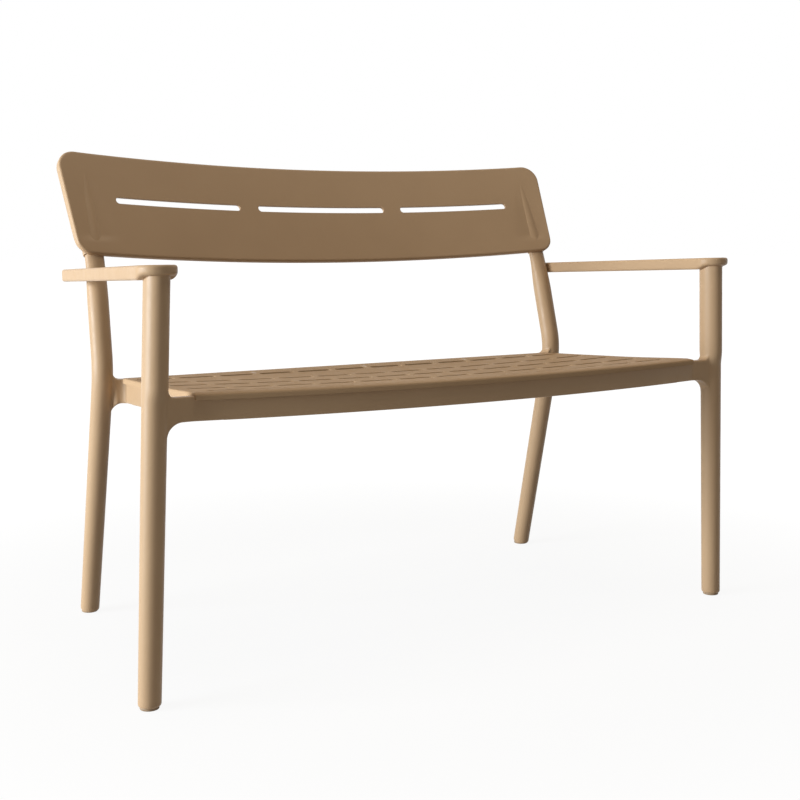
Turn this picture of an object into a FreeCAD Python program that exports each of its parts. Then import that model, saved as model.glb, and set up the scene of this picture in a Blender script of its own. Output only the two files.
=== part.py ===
import FreeCAD, Part
import math
import os

# Two-seat garden bench with a slotted dished seat, a curved reclined back and two arms.
# Millimetres. X runs along the bench, +Y to the back, +Z up. The bench is the same left and right,
# so each side piece is made for +X and mirrored. While it is built, Y = 0 is the front leg's axis.

V = FreeCAD.Vector

# Seat: the separate lid and its slots
seat_front_height = 463.5
seat_rear_height = 445.5
seat_front_half = 494.6
seat_rear_half = 465.4
seat_depth = 414.3
seat_ahead_of_leg = 14.8
seat_bow = 47.9
seat_dish = 8.0
seat_dish_rim = 0.28
seat_roll_height = 2.3
seat_roll_width = 20.0
sheet = 3.0
lip_drop = 9.0
slot_pitch = 77.0
slot_web = 9.0
slot_width = 11.0
slot_row_pitch = 78.0
slot_front_margin = 44.8
slot_rear_margin = 57.5
slot_end_margin = 3.0

# Frame under the lid
lip_overhang = 6.0
rail_depth = 26.0
rail_wall = 4.0
front_rail_drop = 39.5
rear_rail_drop = 44.5
rail_rib = 3.0
rail_rib_pitch = 112.0
corner_run = 12.0
tongue_length = 42.0
tongue_rise = 6.0
stub_below_lid = 2.5
bearer_width = 8.0
bearer_depth = 18.0
bearer_tenon = 10.0
bearer_webs_apart = 3

# Front legs
arm_height = 630.0
front_leg_outboard = 56.4
front_leg_splay = 27.6
front_foot_radius = 17.5
front_leg_radius = 19.0
front_oval_half_y = 22.6
front_oval_rise = 28.0
front_web_half = 13.0
front_top_fillet = 9.0
front_bottom_fillet = 26.0
front_plan_fillet = 14.0

# Rear legs
rear_leg_outboard = 28.6
rear_leg_behind = 11.5
rear_kink_above_seat = 10.9
rear_foot_back = 108.0
rear_foot_splay = 4.6
rear_foot_radius = 17.0
rear_leg_radius = 18.4
rear_bend_radius = 90.0
rear_web_half = 13.0
rear_top_fillet = 12.0
rear_bottom_fillet = 18.0
rear_plan_fillet = 12.0
post_lean_in = 7.7
post_half_x = 17.0
post_half_y = 12.0
post_flat_start = 80.0
post_sides = 16
post_in_socket = 170.0

# Backrest
back_above_arm = 10.6
back_bottom_y = 475.0
back_recline = 26.1
back_height = 204.7
back_bottom_half = 517.7
back_top_half = 531.3
back_curve = 44.7
back_curve_at = 540.0
back_bottom_lift = 3.1
back_top_lift = 2.1
back_top_corner = 34.0
back_bottom_corner = 28.0
back_skin = 6.5
back_rim = 16.0
back_rim_wall = 5.0
back_slot_rise = 114.3
back_slot_height = 10.0
back_middle_slot_half = 140.8
back_side_slot_start = 179.4
back_side_slot_end = 431.5
socket_wall = 3.0
socket_cap = 5.0

# Arms
arm_thickness = 21.3
arm_fall = 17.8
arm_front_outer = 26.7
arm_front_inner = 26.0
arm_rear_outer = 54.0
arm_paddle_radius = 30.0
arm_past_post = 30.0
arm_rear_corner = 8.0
arm_paddle_blend = 40.0
arm_edge = 2.0
arm_tip_bevel = 0.42
arm_recess = 1.2
arm_tenon_half_x = 12.0
arm_tenon_half_y = 16.0
arm_tenon_height = 12.0

# Feet and fasteners
glide_height = 4.0
glide_radius = 14.5
glide_plug_radius = 9.0
glide_plug_height = 14.0
screw_radius = 2.5
screw_head_radius = 5.0
screw_head_height = 3.0
seat_boss_radius = 6.0
seat_screw_webs = (-4.8, -2.25, 2.25, 4.8)
seat_screw_washer = 7.5
seat_screw_grip = 6.0
screw_bite = 0.6
tongue_screw_near = 0.35
tongue_screw_far = 0.75
back_screw_low = 0.35
back_screw_high = 0.8
pin_radius = 4.0
pin_length = 44.0

# Clearances
seam = 0.2
fit = 0.3
lid_clear = 0.3
through = 60.0

# Places worked out from the sizes
seat_front_y = -seat_ahead_of_leg
seat_rear_y = seat_front_y + seat_depth
back_bottom_height = arm_height + back_above_arm
recline = math.radians(back_recline)
panel_up = V(0, math.sin(recline), math.cos(recline))
panel_out = V(0, -math.cos(recline), math.sin(recline))
rear_kink = V(seat_rear_half + rear_leg_outboard, seat_rear_y + rear_leg_behind,
              seat_rear_height + rear_kink_above_seat)
rear_foot = V(rear_kink.x + rear_foot_splay, rear_kink.y + rear_foot_back, 0)


def smooth(value):
    """Ease from 0 to 1 with level ends."""
    part = min(max(value, 0.0), 1.0)
    return part * part * (3.0 - 2.0 * part)


def closed_face(start, *steps):
    """Flat face inside straight steps (an end point) and arcs (a middle point and an end point)."""
    edges = []
    here = start
    for step in steps:
        if len(step) == 1:
            edges.append(Part.makeLine(here, step[0]))
        else:
            edges.append(Part.Arc(here, step[0], step[1]).toShape())
        here = step[-1]
    if here.distanceToPoint(start) > 0.001:
        edges.append(Part.makeLine(here, start))
    return Part.Face(Part.Wire(edges))


def quarter(centre, radius, first, last):
    """Middle and end of an arc about a centre, between two directions in degrees in the XY plane."""
    middle = math.radians((first + last) / 2)
    end = math.radians(last)
    return (centre + V(radius * math.cos(middle), radius * math.sin(middle), 0),
            centre + V(radius * math.cos(end), radius * math.sin(end), 0))


def mirrored(shape):
    return shape.mirror(V(0, 0, 0), V(1, 0, 0))


def joined(shapes):
    whole = shapes[0].multiFuse(shapes[1:]) if len(shapes) > 1 else shapes[0]
    return whole.removeSplitter()


# Seat lid

def seat_front(x):
    """Front edge of the lid, bowed forward as a parabola."""
    return seat_front_y - seat_bow * (1 - (x / seat_front_half) ** 2)


def seat_half(y):
    """Half length of the lid, tapering to the back."""
    share = (y - seat_front_y) / seat_depth
    return seat_front_half + (seat_rear_half - seat_front_half) * share


def seat_height(x, y):
    """Top of the lid: a fall to the back, a rolled front edge and a shallow dish in the middle."""
    front = seat_front(x)
    share = (y - front) / (seat_rear_y - front)
    level = seat_front_height + (seat_rear_height - seat_front_height) * share
    dish = seat_dish * smooth(share / seat_dish_rim) * smooth((1 - share) / seat_dish_rim)
    dish *= max(0.0, 1 - (x / seat_half(y)) ** 2)
    roll = min(max(y - front, 0.0), seat_roll_width) / seat_roll_width
    return level - dish + seat_roll_height * (1 - (1 - roll) ** 2)


seat_stations = (0, 0.05, 0.14, 0.32, 0.6, 0.84, 1)


def seat_patch(inset, lowered):
    """Top surface of the lid, drawn in by the inset and lowered."""
    rows = []
    for step in range(-2, 3):
        row = []
        for share in seat_stations:
            y = seat_rear_y
            for _ in range(3):
                x = step / 2 * (seat_half(y) - inset)
                near = seat_front(x) + inset
                y = near + share * (seat_rear_y - inset - near)
            row.append(V(x, y, seat_height(x, y) - lowered))
        rows.append(row)
    surface = Part.BSplineSurface()
    surface.interpolate(rows)
    return surface.toShape()


def seat_block(inset, lowered, depth):
    return seat_patch(inset, lowered).extrude(V(0, 0, -depth))


def slot(x, y, length):
    """Upright cutter for one slot with bevelled ends."""
    low = seat_rear_height - through
    half = length / 2
    side = slot_width / 2
    flat = slot_width / 4
    corners = [(half - flat, -side), (half, -flat), (half, flat), (half - flat, side)]
    corners += [(-a, -b) for a, b in corners]
    points = [V(x + a, y + b, low) for a, b in corners]
    return Part.Face(Part.makePolygon(points + points[:1])).extrude(V(0, 0, 2 * through))


def slot_rows():
    rows = int((seat_depth - slot_front_margin - slot_rear_margin) / slot_row_pitch + 1.01)
    return [seat_rear_y - slot_rear_margin - slot_row_pitch * row for row in range(rows)]


def seat_slots():
    per_side = int((seat_rear_half - slot_end_margin) / slot_pitch)
    cutters = []
    for y in slot_rows():
        for place in range(-per_side, per_side):
            cutters.append(slot((place + 0.5) * slot_pitch, y, slot_pitch - slot_web))
    return cutters


def seat_screw_places():
    """Between the bearers, over the middle of the front and rear rails."""
    places = []
    for webs in seat_screw_webs:
        across = webs * slot_pitch
        middle = lip_overhang + rail_depth / 2
        places.append(V(across, seat_front(across) + middle, front_cavity_top))
        places.append(V(across, seat_rear_y - middle, rear_cavity_top))
    return places


def seat_panel():
    """Dished tray with turned-down lips, locating bosses and rows of slots."""
    tray = seat_block(0, 0, lip_drop).cut(seat_block(sheet, sheet, lip_drop + through))
    bosses = []
    for place in seat_screw_places():
        top = seat_height(place.x, place.y) - sheet / 2
        bosses.append(prism(8, place, V(0, 0, 1), seat_boss_radius, top - place.z))
    lid = joined([tray] + bosses)
    screws = [seat_screw(place, fit) for place in seat_screw_places()]
    return lid.cut(Part.makeCompound(seat_slots() + screws))


def lid_space():
    """Everything from the lid's underside up, with its lips, grown by the seating clearance."""
    reach = 3 * through
    above = seat_block(-lid_clear, -reach, reach + lip_drop + lid_clear)
    return above.cut(seat_block(sheet + lid_clear, sheet + lid_clear, lip_drop + through))


# Frame under the lid

front_rail_bottom = seat_front_height - front_rail_drop
rear_rail_bottom = seat_rear_height - rear_rail_drop
front_stub_top = seat_front_height - stub_below_lid
rear_stub_top = seat_rear_height - stub_below_lid
front_cavity_top = seat_front_height - sheet - lid_clear - rail_wall
rear_cavity_top = seat_rear_height - sheet - lid_clear - rail_wall
rear_rail_face = seat_rear_y - lip_overhang
rear_rail_inner = rear_rail_face - rail_depth


def side_face(y):
    """Outer face of the side rail."""
    return seat_half(y) - lip_overhang


front_seam_x = side_face(seat_front_y) - rail_depth - corner_run
front_seam_y = front_web_half + front_plan_fillet + corner_run
rear_seam_x = side_face(rear_rail_face) - rail_depth - corner_run
rear_seam_y = rear_rail_inner - corner_run


def bow_edge(x_from, x_to, behind, z):
    """Stretch of the parabola that runs a given distance behind the lid's front edge."""
    slope = 2 * seat_bow * x_from / seat_front_half ** 2
    pole = V((x_from + x_to) / 2, seat_front(x_from) + behind + slope * (x_to - x_from) / 2, z)
    curve = Part.BezierCurve()
    curve.setPoles([V(x_from, seat_front(x_from) + behind, z), pole,
                    V(x_to, seat_front(x_to) + behind, z)])
    return curve.toShape()


def bowed_bar(x_from, x_to, inset, z_low, z_high):
    """Bar that follows the bow, as deep as the rail less the inset on each face."""
    near = bow_edge(x_from, x_to, lip_overhang + inset, z_low)
    far = bow_edge(x_to, x_from, lip_overhang + rail_depth - inset, z_low)
    ends = [Part.makeLine(near.Vertexes[-1].Point, far.Vertexes[0].Point),
            Part.makeLine(far.Vertexes[-1].Point, near.Vertexes[0].Point)]
    wire = Part.Wire([near, ends[0], far, ends[1]])
    return Part.Face(wire).extrude(V(0, 0, z_high - z_low))


def boss_hole(place):
    """Hole in a rail's top web for a boss of the lid."""
    return prism(8, place - V(0, 0, 1), V(0, 0, 1), seat_boss_radius + fit, through)


def rib_places(half):
    count = int(half / rail_rib_pitch)
    return [place * rail_rib_pitch for place in range(-count, count + 1)]


def front_rail():
    """Bowed channel, open below, with ribs across it."""
    end = front_seam_x - seam
    top = seat_front_height + through / 4
    bar = bowed_bar(-end, end, 0, front_rail_bottom, top)
    hollow = bowed_bar(-end - 1, end + 1, rail_wall, front_rail_bottom - 1, front_cavity_top)
    ribs = []
    clear_half = end - tongue_length - rail_rib_pitch / 4
    for x in rib_places(clear_half):
        y = seat_front(x) + lip_overhang + rail_wall / 2
        ribs.append(Part.makeBox(rail_rib, rail_depth - rail_wall, front_cavity_top - front_rail_bottom,
                                 V(x - rail_rib / 2, y, front_rail_bottom + 2)))
    rail = joined([bar.cut(hollow)] + ribs)
    tools = [lid_space()] + [bearer_cutter(x) for x in bearer_places()]
    tools += [boss_hole(p) for p in seat_screw_places() if p.y < seat_rear_y / 2]
    tools += [rail_screw(p, fit / 2) for p in front_rail_screw_places()]
    return rail.cut(Part.makeCompound(tools[1:])).cut(tools[0])


def rear_rail():
    """Straight channel, open below, under the back edge of the lid."""
    end = rear_seam_x - seam
    height = seat_rear_height + through / 4 - rear_rail_bottom
    bar = Part.makeBox(2 * end, rail_depth, height, V(-end, rear_rail_inner, rear_rail_bottom))
    hollow = Part.makeBox(2 * end + 2, rail_depth - 2 * rail_wall, rear_cavity_top - rear_rail_bottom + 1,
                          V(-end - 1, rear_rail_inner + rail_wall, rear_rail_bottom - 1))
    ribs = []
    for x in rib_places(end - tongue_length - rail_rib_pitch / 4):
        ribs.append(Part.makeBox(rail_rib, rail_depth - rail_wall, rear_cavity_top - rear_rail_bottom,
                                 V(x - rail_rib / 2, rear_rail_inner + rail_wall / 2, rear_rail_bottom + 2)))
    rail = joined([bar.cut(hollow)] + ribs)
    tools = [bearer_cutter(x) for x in bearer_places()]
    tools += [boss_hole(p) for p in seat_screw_places() if p.y > seat_rear_y / 2]
    tools += [rail_screw(p, fit / 2) for p in rear_rail_screw_places()]
    return rail.cut(Part.makeCompound(tools)).cut(lid_space())


def side_bar(y_from, y_to, inset, low_rise, high_drop):
    """Bar under the end of the lid, its bottom sloping from the front rail to the rear rail."""
    def low(y):
        share = (y - seat_front_y) / (rear_rail_face - seat_front_y)
        return front_rail_bottom + (rear_rail_bottom - front_rail_bottom) * share + low_rise

    def high(y):
        share = (y - seat_front_y) / seat_depth
        return seat_front_height + (seat_rear_height - seat_front_height) * share - high_drop

    plan = closed_face(V(side_face(y_from) - inset, y_from, 0), (V(side_face(y_to) - inset, y_to, 0),),
                       (V(side_face(y_to) - rail_depth + inset, y_to, 0),),
                       (V(side_face(y_from) - rail_depth + inset, y_from, 0),))
    side = closed_face(V(0, y_from, low(y_from)), (V(0, y_to, low(y_to)),),
                       (V(0, y_to, high(y_to)),), (V(0, y_from, high(y_from)),))
    return plan.extrude(V(0, 0, 2 * seat_front_height)).common(side.extrude(V(2 * seat_front_half, 0, 0)))


side_cavity_drop = sheet + lid_clear + rail_wall


def side_rail():
    """Straight channel from the front corner to the rear corner, open below."""
    y_from = front_seam_y + seam
    y_to = rear_seam_y - seam
    bar = side_bar(y_from, y_to, 0, 0, -through / 4)
    hollow = side_bar(y_from - 1, y_to + 1, rail_wall, -1, side_cavity_drop)
    ribs = []
    middle = (y_from + y_to) / 2
    for place in rib_places((y_to - y_from) / 2 - tongue_length - rail_rib_pitch / 4):
        y = middle + place
        ribs.append(side_bar(y - rail_rib / 2, y + rail_rib / 2, rail_wall / 2, 2, side_cavity_drop - 1))
    rail = joined([bar.cut(hollow)] + ribs)
    screws = Part.makeCompound([rail_screw(p, fit / 2) for p in side_rail_screw_places()])
    return rail.cut(screws).cut(lid_space())


def bearer_places():
    return [place * bearer_webs_apart * slot_pitch for place in (-1, 0, 1)]


def bearer_blank(x, grow):
    """Flat bar on edge from rail to rail, with a tenon at each end."""
    front = seat_front(abs(x) + bearer_width / 2) + lip_overhang + rail_depth
    low = seat_rear_height - sheet - bearer_depth
    high = seat_front_height + through / 4
    body = Part.makeBox(bearer_width, rear_rail_inner - front - 2 * seam, high - low,
                        V(x - bearer_width / 2, front + seam, low))
    width = bearer_width / 2 + 2 * grow
    tenons = []
    for y, level in ((front - bearer_tenon, front_cavity_top), (rear_rail_inner - 2, rear_cavity_top)):
        tenons.append(Part.makeBox(width, bearer_tenon + 2 + grow, bearer_depth / 2 + 2 * grow,
                                   V(x - width / 2, y - (grow if y < 0 else 0),
                                     level - rail_wall - bearer_depth / 2 - grow)))
    return body, tenons


def bearer_cutter(x):
    return Part.makeCompound(bearer_blank(x, fit)[1])


def bearer(x):
    body, tenons = bearer_blank(x, 0)
    return joined([body] + tenons).cut(lid_space())


# Screws

def prism(sides, foot, direction, radius, length):
    """Straight bar with a regular outline of few sides."""
    start = direction.cross(V(0, 1, 0)).normalize()
    corners = []
    for step in range(sides + 1):
        turned = FreeCAD.Rotation(direction, 360 / sides * step).multVec(start)
        corners.append(foot + turned * radius)
    return Part.Face(Part.makePolygon(corners)).extrude(direction * length)


def screw(foot, direction, head_radius, head_height, length, grow):
    """Hexagon-headed screw: head from its foot outwards, shank the other way."""
    back = foot - direction * (head_height + grow)
    head = prism(6, back, direction, head_radius + grow, head_height + grow)
    shank = prism(6, foot, direction, screw_radius + grow, length + grow)
    return head.fuse(shank).removeSplitter()


def rail_screw(place, grow):
    """Upright screw through a leg's tongue into the top web of the rail over it."""
    share = min(max((place.y - seat_front_y) / seat_depth, 0), 1)
    web = seat_front_height + (seat_rear_height - seat_front_height) * share - side_cavity_drop
    return screw(place, V(0, 0, 1), screw_head_radius, screw_head_height,
                 web + rail_wall * screw_bite - place.z, grow)


def seat_screw(place, grow):
    return screw(place, V(0, 0, 1), seat_screw_washer, screw_head_height, seat_screw_grip, grow / 2)


def tongue_screw_offsets():
    return (tongue_length * tongue_screw_near, tongue_length * tongue_screw_far)


def front_rail_screw_places():
    places = []
    for side in (-1, 1):
        for offset in tongue_screw_offsets():
            x = side * (front_seam_x - offset)
            y = seat_front(x) + lip_overhang + rail_depth / 2
            places.append(V(x, y, front_rail_bottom + tongue_rise))
    return places


def rear_rail_screw_places():
    places = []
    for side in (-1, 1):
        for offset in tongue_screw_offsets():
            places.append(V(side * (rear_seam_x - offset), rear_rail_inner + rail_depth / 2,
                            rear_rail_bottom + tongue_rise))
    return places


def side_rail_screw_places():
    places = []
    for y, sense in ((front_seam_y, 1), (rear_seam_y, -1)):
        here = y + sense * tongue_length / 2
        share = (here - seat_front_y) / (rear_rail_face - seat_front_y)
        low = front_rail_bottom + (rear_rail_bottom - front_rail_bottom) * share
        places.append(V(side_face(here) - rail_depth / 2, here, low + tongue_rise))
    return places


# Legs

def ring(centre, along, major, half_major, half_minor):
    """Oval wire about a centre, square to a direction, its long axis nearest to a given way."""
    minor = along.cross(major).normalize()
    first = minor.cross(along).normalize()
    longer = max(half_major, half_minor + 0.001)
    oval = Part.Ellipse(centre + first * longer, centre + minor * half_minor, centre)
    return Part.Wire([oval.toShape()])


front_oval_low = seat_front_height - front_oval_rise / 2


def front_leg_x(z):
    """The leg leans out towards its foot."""
    at_seat = seat_front_half + front_leg_outboard
    return at_seat - front_leg_splay * (z - seat_front_height) / arm_height


def front_leg_half(z):
    """Half width of the leg along the bench: a straight taper to the seat, then constant."""
    up = min(z / front_oval_low, 1.0)
    return front_foot_radius + (front_leg_radius - front_foot_radius) * up


front_leg_way = V(front_leg_x(arm_height) - front_leg_x(0), 0, arm_height).normalize()


def front_leg_ring(z):
    """Round at the seat's underside, oval above the seat."""
    oval = smooth((z - front_oval_low) / front_oval_rise)
    half_y = front_leg_radius + (front_oval_half_y - front_leg_radius) * oval
    return ring(V(front_leg_x(z), 0, z), front_leg_way, V(0, 1, 0), half_y, front_leg_radius)


def front_leg_bar():
    """Straight taper, a short change from round to oval at the seat, and the straight oval part."""
    low = V(front_leg_x(front_oval_low), 0, front_oval_low)
    foot = V(front_leg_x(0), 0, 0) - front_leg_way * front_foot_radius
    below = Part.makeCone(front_foot_radius, front_leg_radius - seam / 2,
                          (low - foot).Length, foot, front_leg_way)
    rings = [front_leg_ring(front_oval_low + front_oval_rise * step / 3) for step in range(4)]
    bar = joined([below, Part.makeLoft(rings, True, False), leg_top(0)])
    return bar.cut(ground_below(foot))


def leg_top(grow):
    """Straight oval part of the leg, with its flat end just inside the arm."""
    low = front_oval_low + front_oval_rise
    start = V(front_leg_x(low), 0, low)
    oval = ring(start, front_leg_way, V(0, 1, 0), front_oval_half_y + grow, front_leg_radius + grow)
    return Part.Face(oval).extrude(front_leg_way * (arm_height + arm_recess - low))


def ground_below(place):
    """Space under a leg, up to the top of its glide."""
    return Part.makeBox(4 * through, 8 * through, 2 * through + glide_height,
                        V(place.x - 2 * through, place.y - 4 * through, -2 * through))


def web_profile(inner_x, lid_end, leg_in, axis_x, low, top, low_fillet, top_fillet, rise):
    """Front view of a leg corner: flat below and above, with a fillet into the leg at each."""
    slant = math.sin(math.radians(45))
    below = leg_in(low - low_fillet)
    above = leg_in(top + top_fillet)
    low_mid = V(below - low_fillet + low_fillet * slant, 0, low - low_fillet + low_fillet * slant)
    top_mid = V(above - top_fillet + top_fillet * slant, 0, top + top_fillet - top_fillet * slant)
    return closed_face(V(inner_x, 0, low), (V(below - low_fillet, 0, low),),
                       (low_mid, V(below, 0, low - low_fillet)), (V(axis_x, 0, low - low_fillet),),
                       (V(axis_x, 0, top + top_fillet),), (V(above, 0, top + top_fillet),),
                       (top_mid, V(above - top_fillet, 0, top)), (V(lid_end, 0, top),),
                       (V(lid_end, 0, top + rise),), (V(inner_x, 0, top + rise),))


def front_leg_inner(z):
    return front_leg_x(z) - front_leg_half(z)


def front_corner():
    """Moulded corner: a web from the leg to the frame, and the L under the lid."""
    axis = front_leg_x(seat_front_height)
    profile = web_profile(front_seam_x, side_face(front_seam_y), front_leg_inner, axis,
                          front_rail_bottom, front_stub_top, front_bottom_fillet,
                          front_top_fillet, through / 4)
    profile.translate(V(0, -through * 2, 0))
    front_view = profile.extrude(V(0, through * 4, 0))
    face_y = seat_front(seat_front_half) + lip_overhang
    r = front_plan_fillet
    turn_x = side_face(front_web_half + r) + r
    turn = V(turn_x, front_web_half + r, 0)
    bow = bow_edge(front_seam_x, seat_front_half, lip_overhang, 0)
    inner_y = seat_front(front_seam_x) + lip_overhang + rail_depth
    corner = V(side_face(inner_y) - rail_depth, inner_y, 0)
    arc_mid, arc_end = quarter(turn, r, 270, 180)
    path = [V(seat_front_half, face_y, 0), V(axis, -front_web_half, 0), V(axis, front_web_half, 0),
            V(turn_x, front_web_half, 0)]
    after = [arc_end, V(side_face(front_seam_y), front_seam_y, 0),
             V(side_face(front_seam_y) - rail_depth, front_seam_y, 0), corner,
             V(front_seam_x, inner_y, 0), bow.Vertexes[0].Point]
    edges = [bow] + [Part.makeLine(a, b) for a, b in zip(path, path[1:])]
    edges.append(Part.Arc(path[-1], arc_mid, arc_end).toShape())
    edges += [Part.makeLine(a, b) for a, b in zip(after, after[1:])]
    plan = Part.Face(Part.Wire(edges)).extrude(V(0, 0, arm_height))
    return front_view.common(plan)


def front_tongues():
    """Tongues that the front rail and the side rail slide over."""
    inset = rail_wall + fit
    across = bowed_bar(front_seam_x - tongue_length, front_seam_x + 2, inset,
                       front_rail_bottom + tongue_rise, front_cavity_top - fit)
    along = side_bar(front_seam_y - 2, front_seam_y + tongue_length, inset, tongue_rise,
                     side_cavity_drop + fit)
    return [across, along]


def glide(centre, grow):
    disc = Part.makeCylinder(glide_radius, glide_height, centre)
    plug = prism(8, centre + V(0, 0, glide_height - grow), V(0, 0, 1),
                 glide_plug_radius + grow, glide_plug_height + grow)
    return joined([disc, plug])


def front_foot_centre():
    return V(front_leg_x(0), 0, 0)


def front_leg():
    tenon = front_arm_tenon(0)
    leg = joined([front_leg_bar(), front_corner(), tenon] + front_tongues())
    screws = [rail_screw(p, fit) for p in front_rail_screw_places() + side_rail_screw_places()]
    return leg.cut(Part.makeCompound(screws + [glide(front_foot_centre(), fit)])).cut(lid_space())


def front_arm_tenon(grow):
    """Oval tenon on top of the leg, for the pocket in the arm."""
    centre = V(front_leg_x(arm_height), 0, arm_height - 1)
    outline = faceted_ring(centre, V(0, 0, 1), V(0, 1, 0), arm_tenon_half_y + grow, arm_tenon_half_x + grow)
    face = Part.Face(outline)
    return face.extrude(V(0, 0, arm_tenon_height + 1 + grow))


def back_point(x, rise, lift=0.0):
    """Point on the front of the backrest, or above it by the lift."""
    curve = back_curve * (x / back_curve_at) ** 2
    base = V(x, back_bottom_y, back_bottom_height)
    return base + panel_up * rise + panel_out * (curve + lift)


post_x = rear_kink.x - post_lean_in
post_behind = back_skin + fit + post_half_y
post_foot = back_point(post_x, 0, -post_behind)
back_turn = math.atan(2 * back_curve * post_x / back_curve_at ** 2)
post_across = V(1, 0, 0) * math.cos(back_turn) + panel_out * math.sin(back_turn)


def oval_share(centre):
    """How far the post has gone from round to oval at a place on its line."""
    return smooth(1 - (post_foot - centre).Length / post_flat_start)


def faceted_ring(centre, along, major, half_major, half_minor):
    """Oval outline of short straight sides, for the parts hidden behind the backrest."""
    minor = along.cross(major).normalize()
    first = minor.cross(along).normalize()
    corners = []
    for step in range(post_sides + 1):
        turn = 2 * math.pi * (step + 0.5) / post_sides
        corners.append(centre + first * (half_major * math.cos(turn)) + minor * (half_minor * math.sin(turn)))
    return Part.makePolygon(corners)


def post_ring(centre, way, grow):
    flat = oval_share(centre)
    across = V(1, 0, 0) * (1 - flat) + post_across * flat
    return faceted_ring(centre, way, across,
                        rear_leg_radius + (post_half_x - rear_leg_radius) * flat + grow,
                        rear_leg_radius + (post_half_y - rear_leg_radius) * flat + grow)


def post_top(grow):
    """Round post that flattens and leans back further where it goes behind the backrest."""
    into = (post_foot - rear_kink).normalize()
    start = post_foot - into * post_flat_start
    rings = [post_ring(start + (post_foot - start) * (step / 3), into, grow) for step in range(3)]
    rings.append(post_ring(post_foot, panel_up, grow))
    straight = Part.Face(rings[-1]).extrude(panel_up * (post_in_socket + grow))
    return start, [Part.makeLoft(rings, True, True), straight]


def rear_leg_bar(grow):
    """Tapered round leg, a round bend at the kink, and the post above it."""
    into = (rear_kink - rear_foot).normalize()
    out = (post_foot - rear_kink).normalize()
    turn = into.getAngle(out)
    reach = rear_bend_radius * math.tan(turn / 2)
    bend_low = rear_kink - into * reach
    bend_axis = into.cross(out).normalize()
    bend_centre = bend_low + bend_axis.cross(into) * rear_bend_radius
    base = rear_foot - into * (2 * rear_foot_radius)
    below = Part.makeCone(rear_foot_radius + grow, rear_leg_radius + grow,
                          (bend_low - base).Length, base, into)
    disc = Part.Face(Part.Wire([Part.Circle(bend_low, into, rear_leg_radius + grow).toShape()]))
    bend = disc.revolve(bend_centre, bend_axis, math.degrees(turn))
    bend_high = rear_kink + out * reach
    start, upper = post_top(grow)
    middle = Part.makeCylinder(rear_leg_radius + grow, (start - bend_high).Length, bend_high, out)
    return joined([below, bend, middle] + upper).cut(ground_below(rear_foot))


def rear_leg_axis(z):
    """Leg axis at a height, below or above the kink."""
    if z < rear_kink.z:
        return rear_kink + (rear_foot - rear_kink) * ((rear_kink.z - z) / rear_kink.z)
    return rear_kink + (post_foot - rear_kink) * ((z - rear_kink.z) / (post_foot.z - rear_kink.z))


def rear_corner():
    """Moulded corner behind the lid: a web out to the leg and the L under the lid."""
    axis = rear_kink.x
    profile = web_profile(rear_seam_x, side_face(rear_rail_face) - rail_depth / 3,
                          lambda z: rear_leg_axis(z).x - rear_leg_radius, axis, rear_rail_bottom,
                          rear_stub_top, rear_bottom_fillet, rear_top_fillet, through / 4)
    profile.translate(V(0, seat_rear_y - through * 2, 0))
    front_view = profile.extrude(V(0, through * 4, 0))
    near = rear_kink.y - rear_web_half
    far = rear_kink.y + rear_web_half
    r = rear_plan_fillet
    turn_x = side_face(near - r) + r
    turn = V(turn_x, near - r, 0)
    arc_mid, arc_end = quarter(turn, r, 90, 180)
    back_x = side_face(rear_rail_face) - rail_depth / 3
    back_mid, back_end = quarter(V(back_x + r, far - r, 0), r, 180, 90)
    plan = closed_face(V(axis, near, 0), (V(turn_x, near, 0),), (arc_mid, arc_end),
                       (V(side_face(rear_seam_y), rear_seam_y, 0),),
                       (V(side_face(rear_seam_y) - rail_depth, rear_seam_y, 0),),
                       (V(side_face(rear_rail_inner) - rail_depth, rear_rail_inner, 0),),
                       (V(rear_seam_x, rear_rail_inner, 0),), (V(rear_seam_x, rear_rail_face, 0),),
                       (V(back_x, rear_rail_face, 0),), (V(back_x, far - r, 0),),
                       (back_mid, back_end), (V(axis, far, 0),))
    block = plan.extrude(V(0, 0, arm_height))
    low = rear_rail_bottom - rear_bottom_fillet
    high = rear_stub_top + rear_top_fillet
    side = closed_face(V(0, rear_seam_y, rear_rail_bottom), (V(0, near, rear_rail_bottom),),
                       (V(0, rear_leg_axis(low).y - rear_web_half, low),),
                       (V(0, rear_leg_axis(low).y + rear_web_half, low),),
                       (V(0, rear_leg_axis(rear_stub_top).y + rear_web_half, rear_stub_top),),
                       (V(0, rear_leg_axis(high).y + rear_web_half / 2, high + through / 4),),
                       (V(0, rear_seam_y, high + through / 4),))
    return front_view.common(block).common(side.extrude(V(2 * axis, 0, 0)))


def rear_tongues():
    inset = rail_wall + fit
    across = Part.makeBox(tongue_length + 2, rail_depth - 2 * inset,
                          rear_cavity_top - fit - rear_rail_bottom - tongue_rise,
                          V(rear_seam_x - tongue_length, rear_rail_inner + inset,
                            rear_rail_bottom + tongue_rise))
    along = side_bar(rear_seam_y - tongue_length, rear_seam_y + 2, inset, tongue_rise,
                     side_cavity_drop + fit)
    return [across, along]


def rear_foot_centre():
    return V(rear_foot.x, rear_foot.y, 0)


def rear_leg():
    leg = joined([rear_leg_bar(0), rear_corner()] + rear_tongues())
    screws = [rail_screw(p, fit) for p in rear_rail_screw_places() + side_rail_screw_places()]
    screws += [back_screw(rise, fit / 2) for rise in back_screw_rises()]
    screws += [armrest_pin(fit / 3), glide(rear_foot_centre(), fit)]
    return leg.cut(Part.makeCompound(screws)).cut(lid_space())


# Backrest

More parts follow.
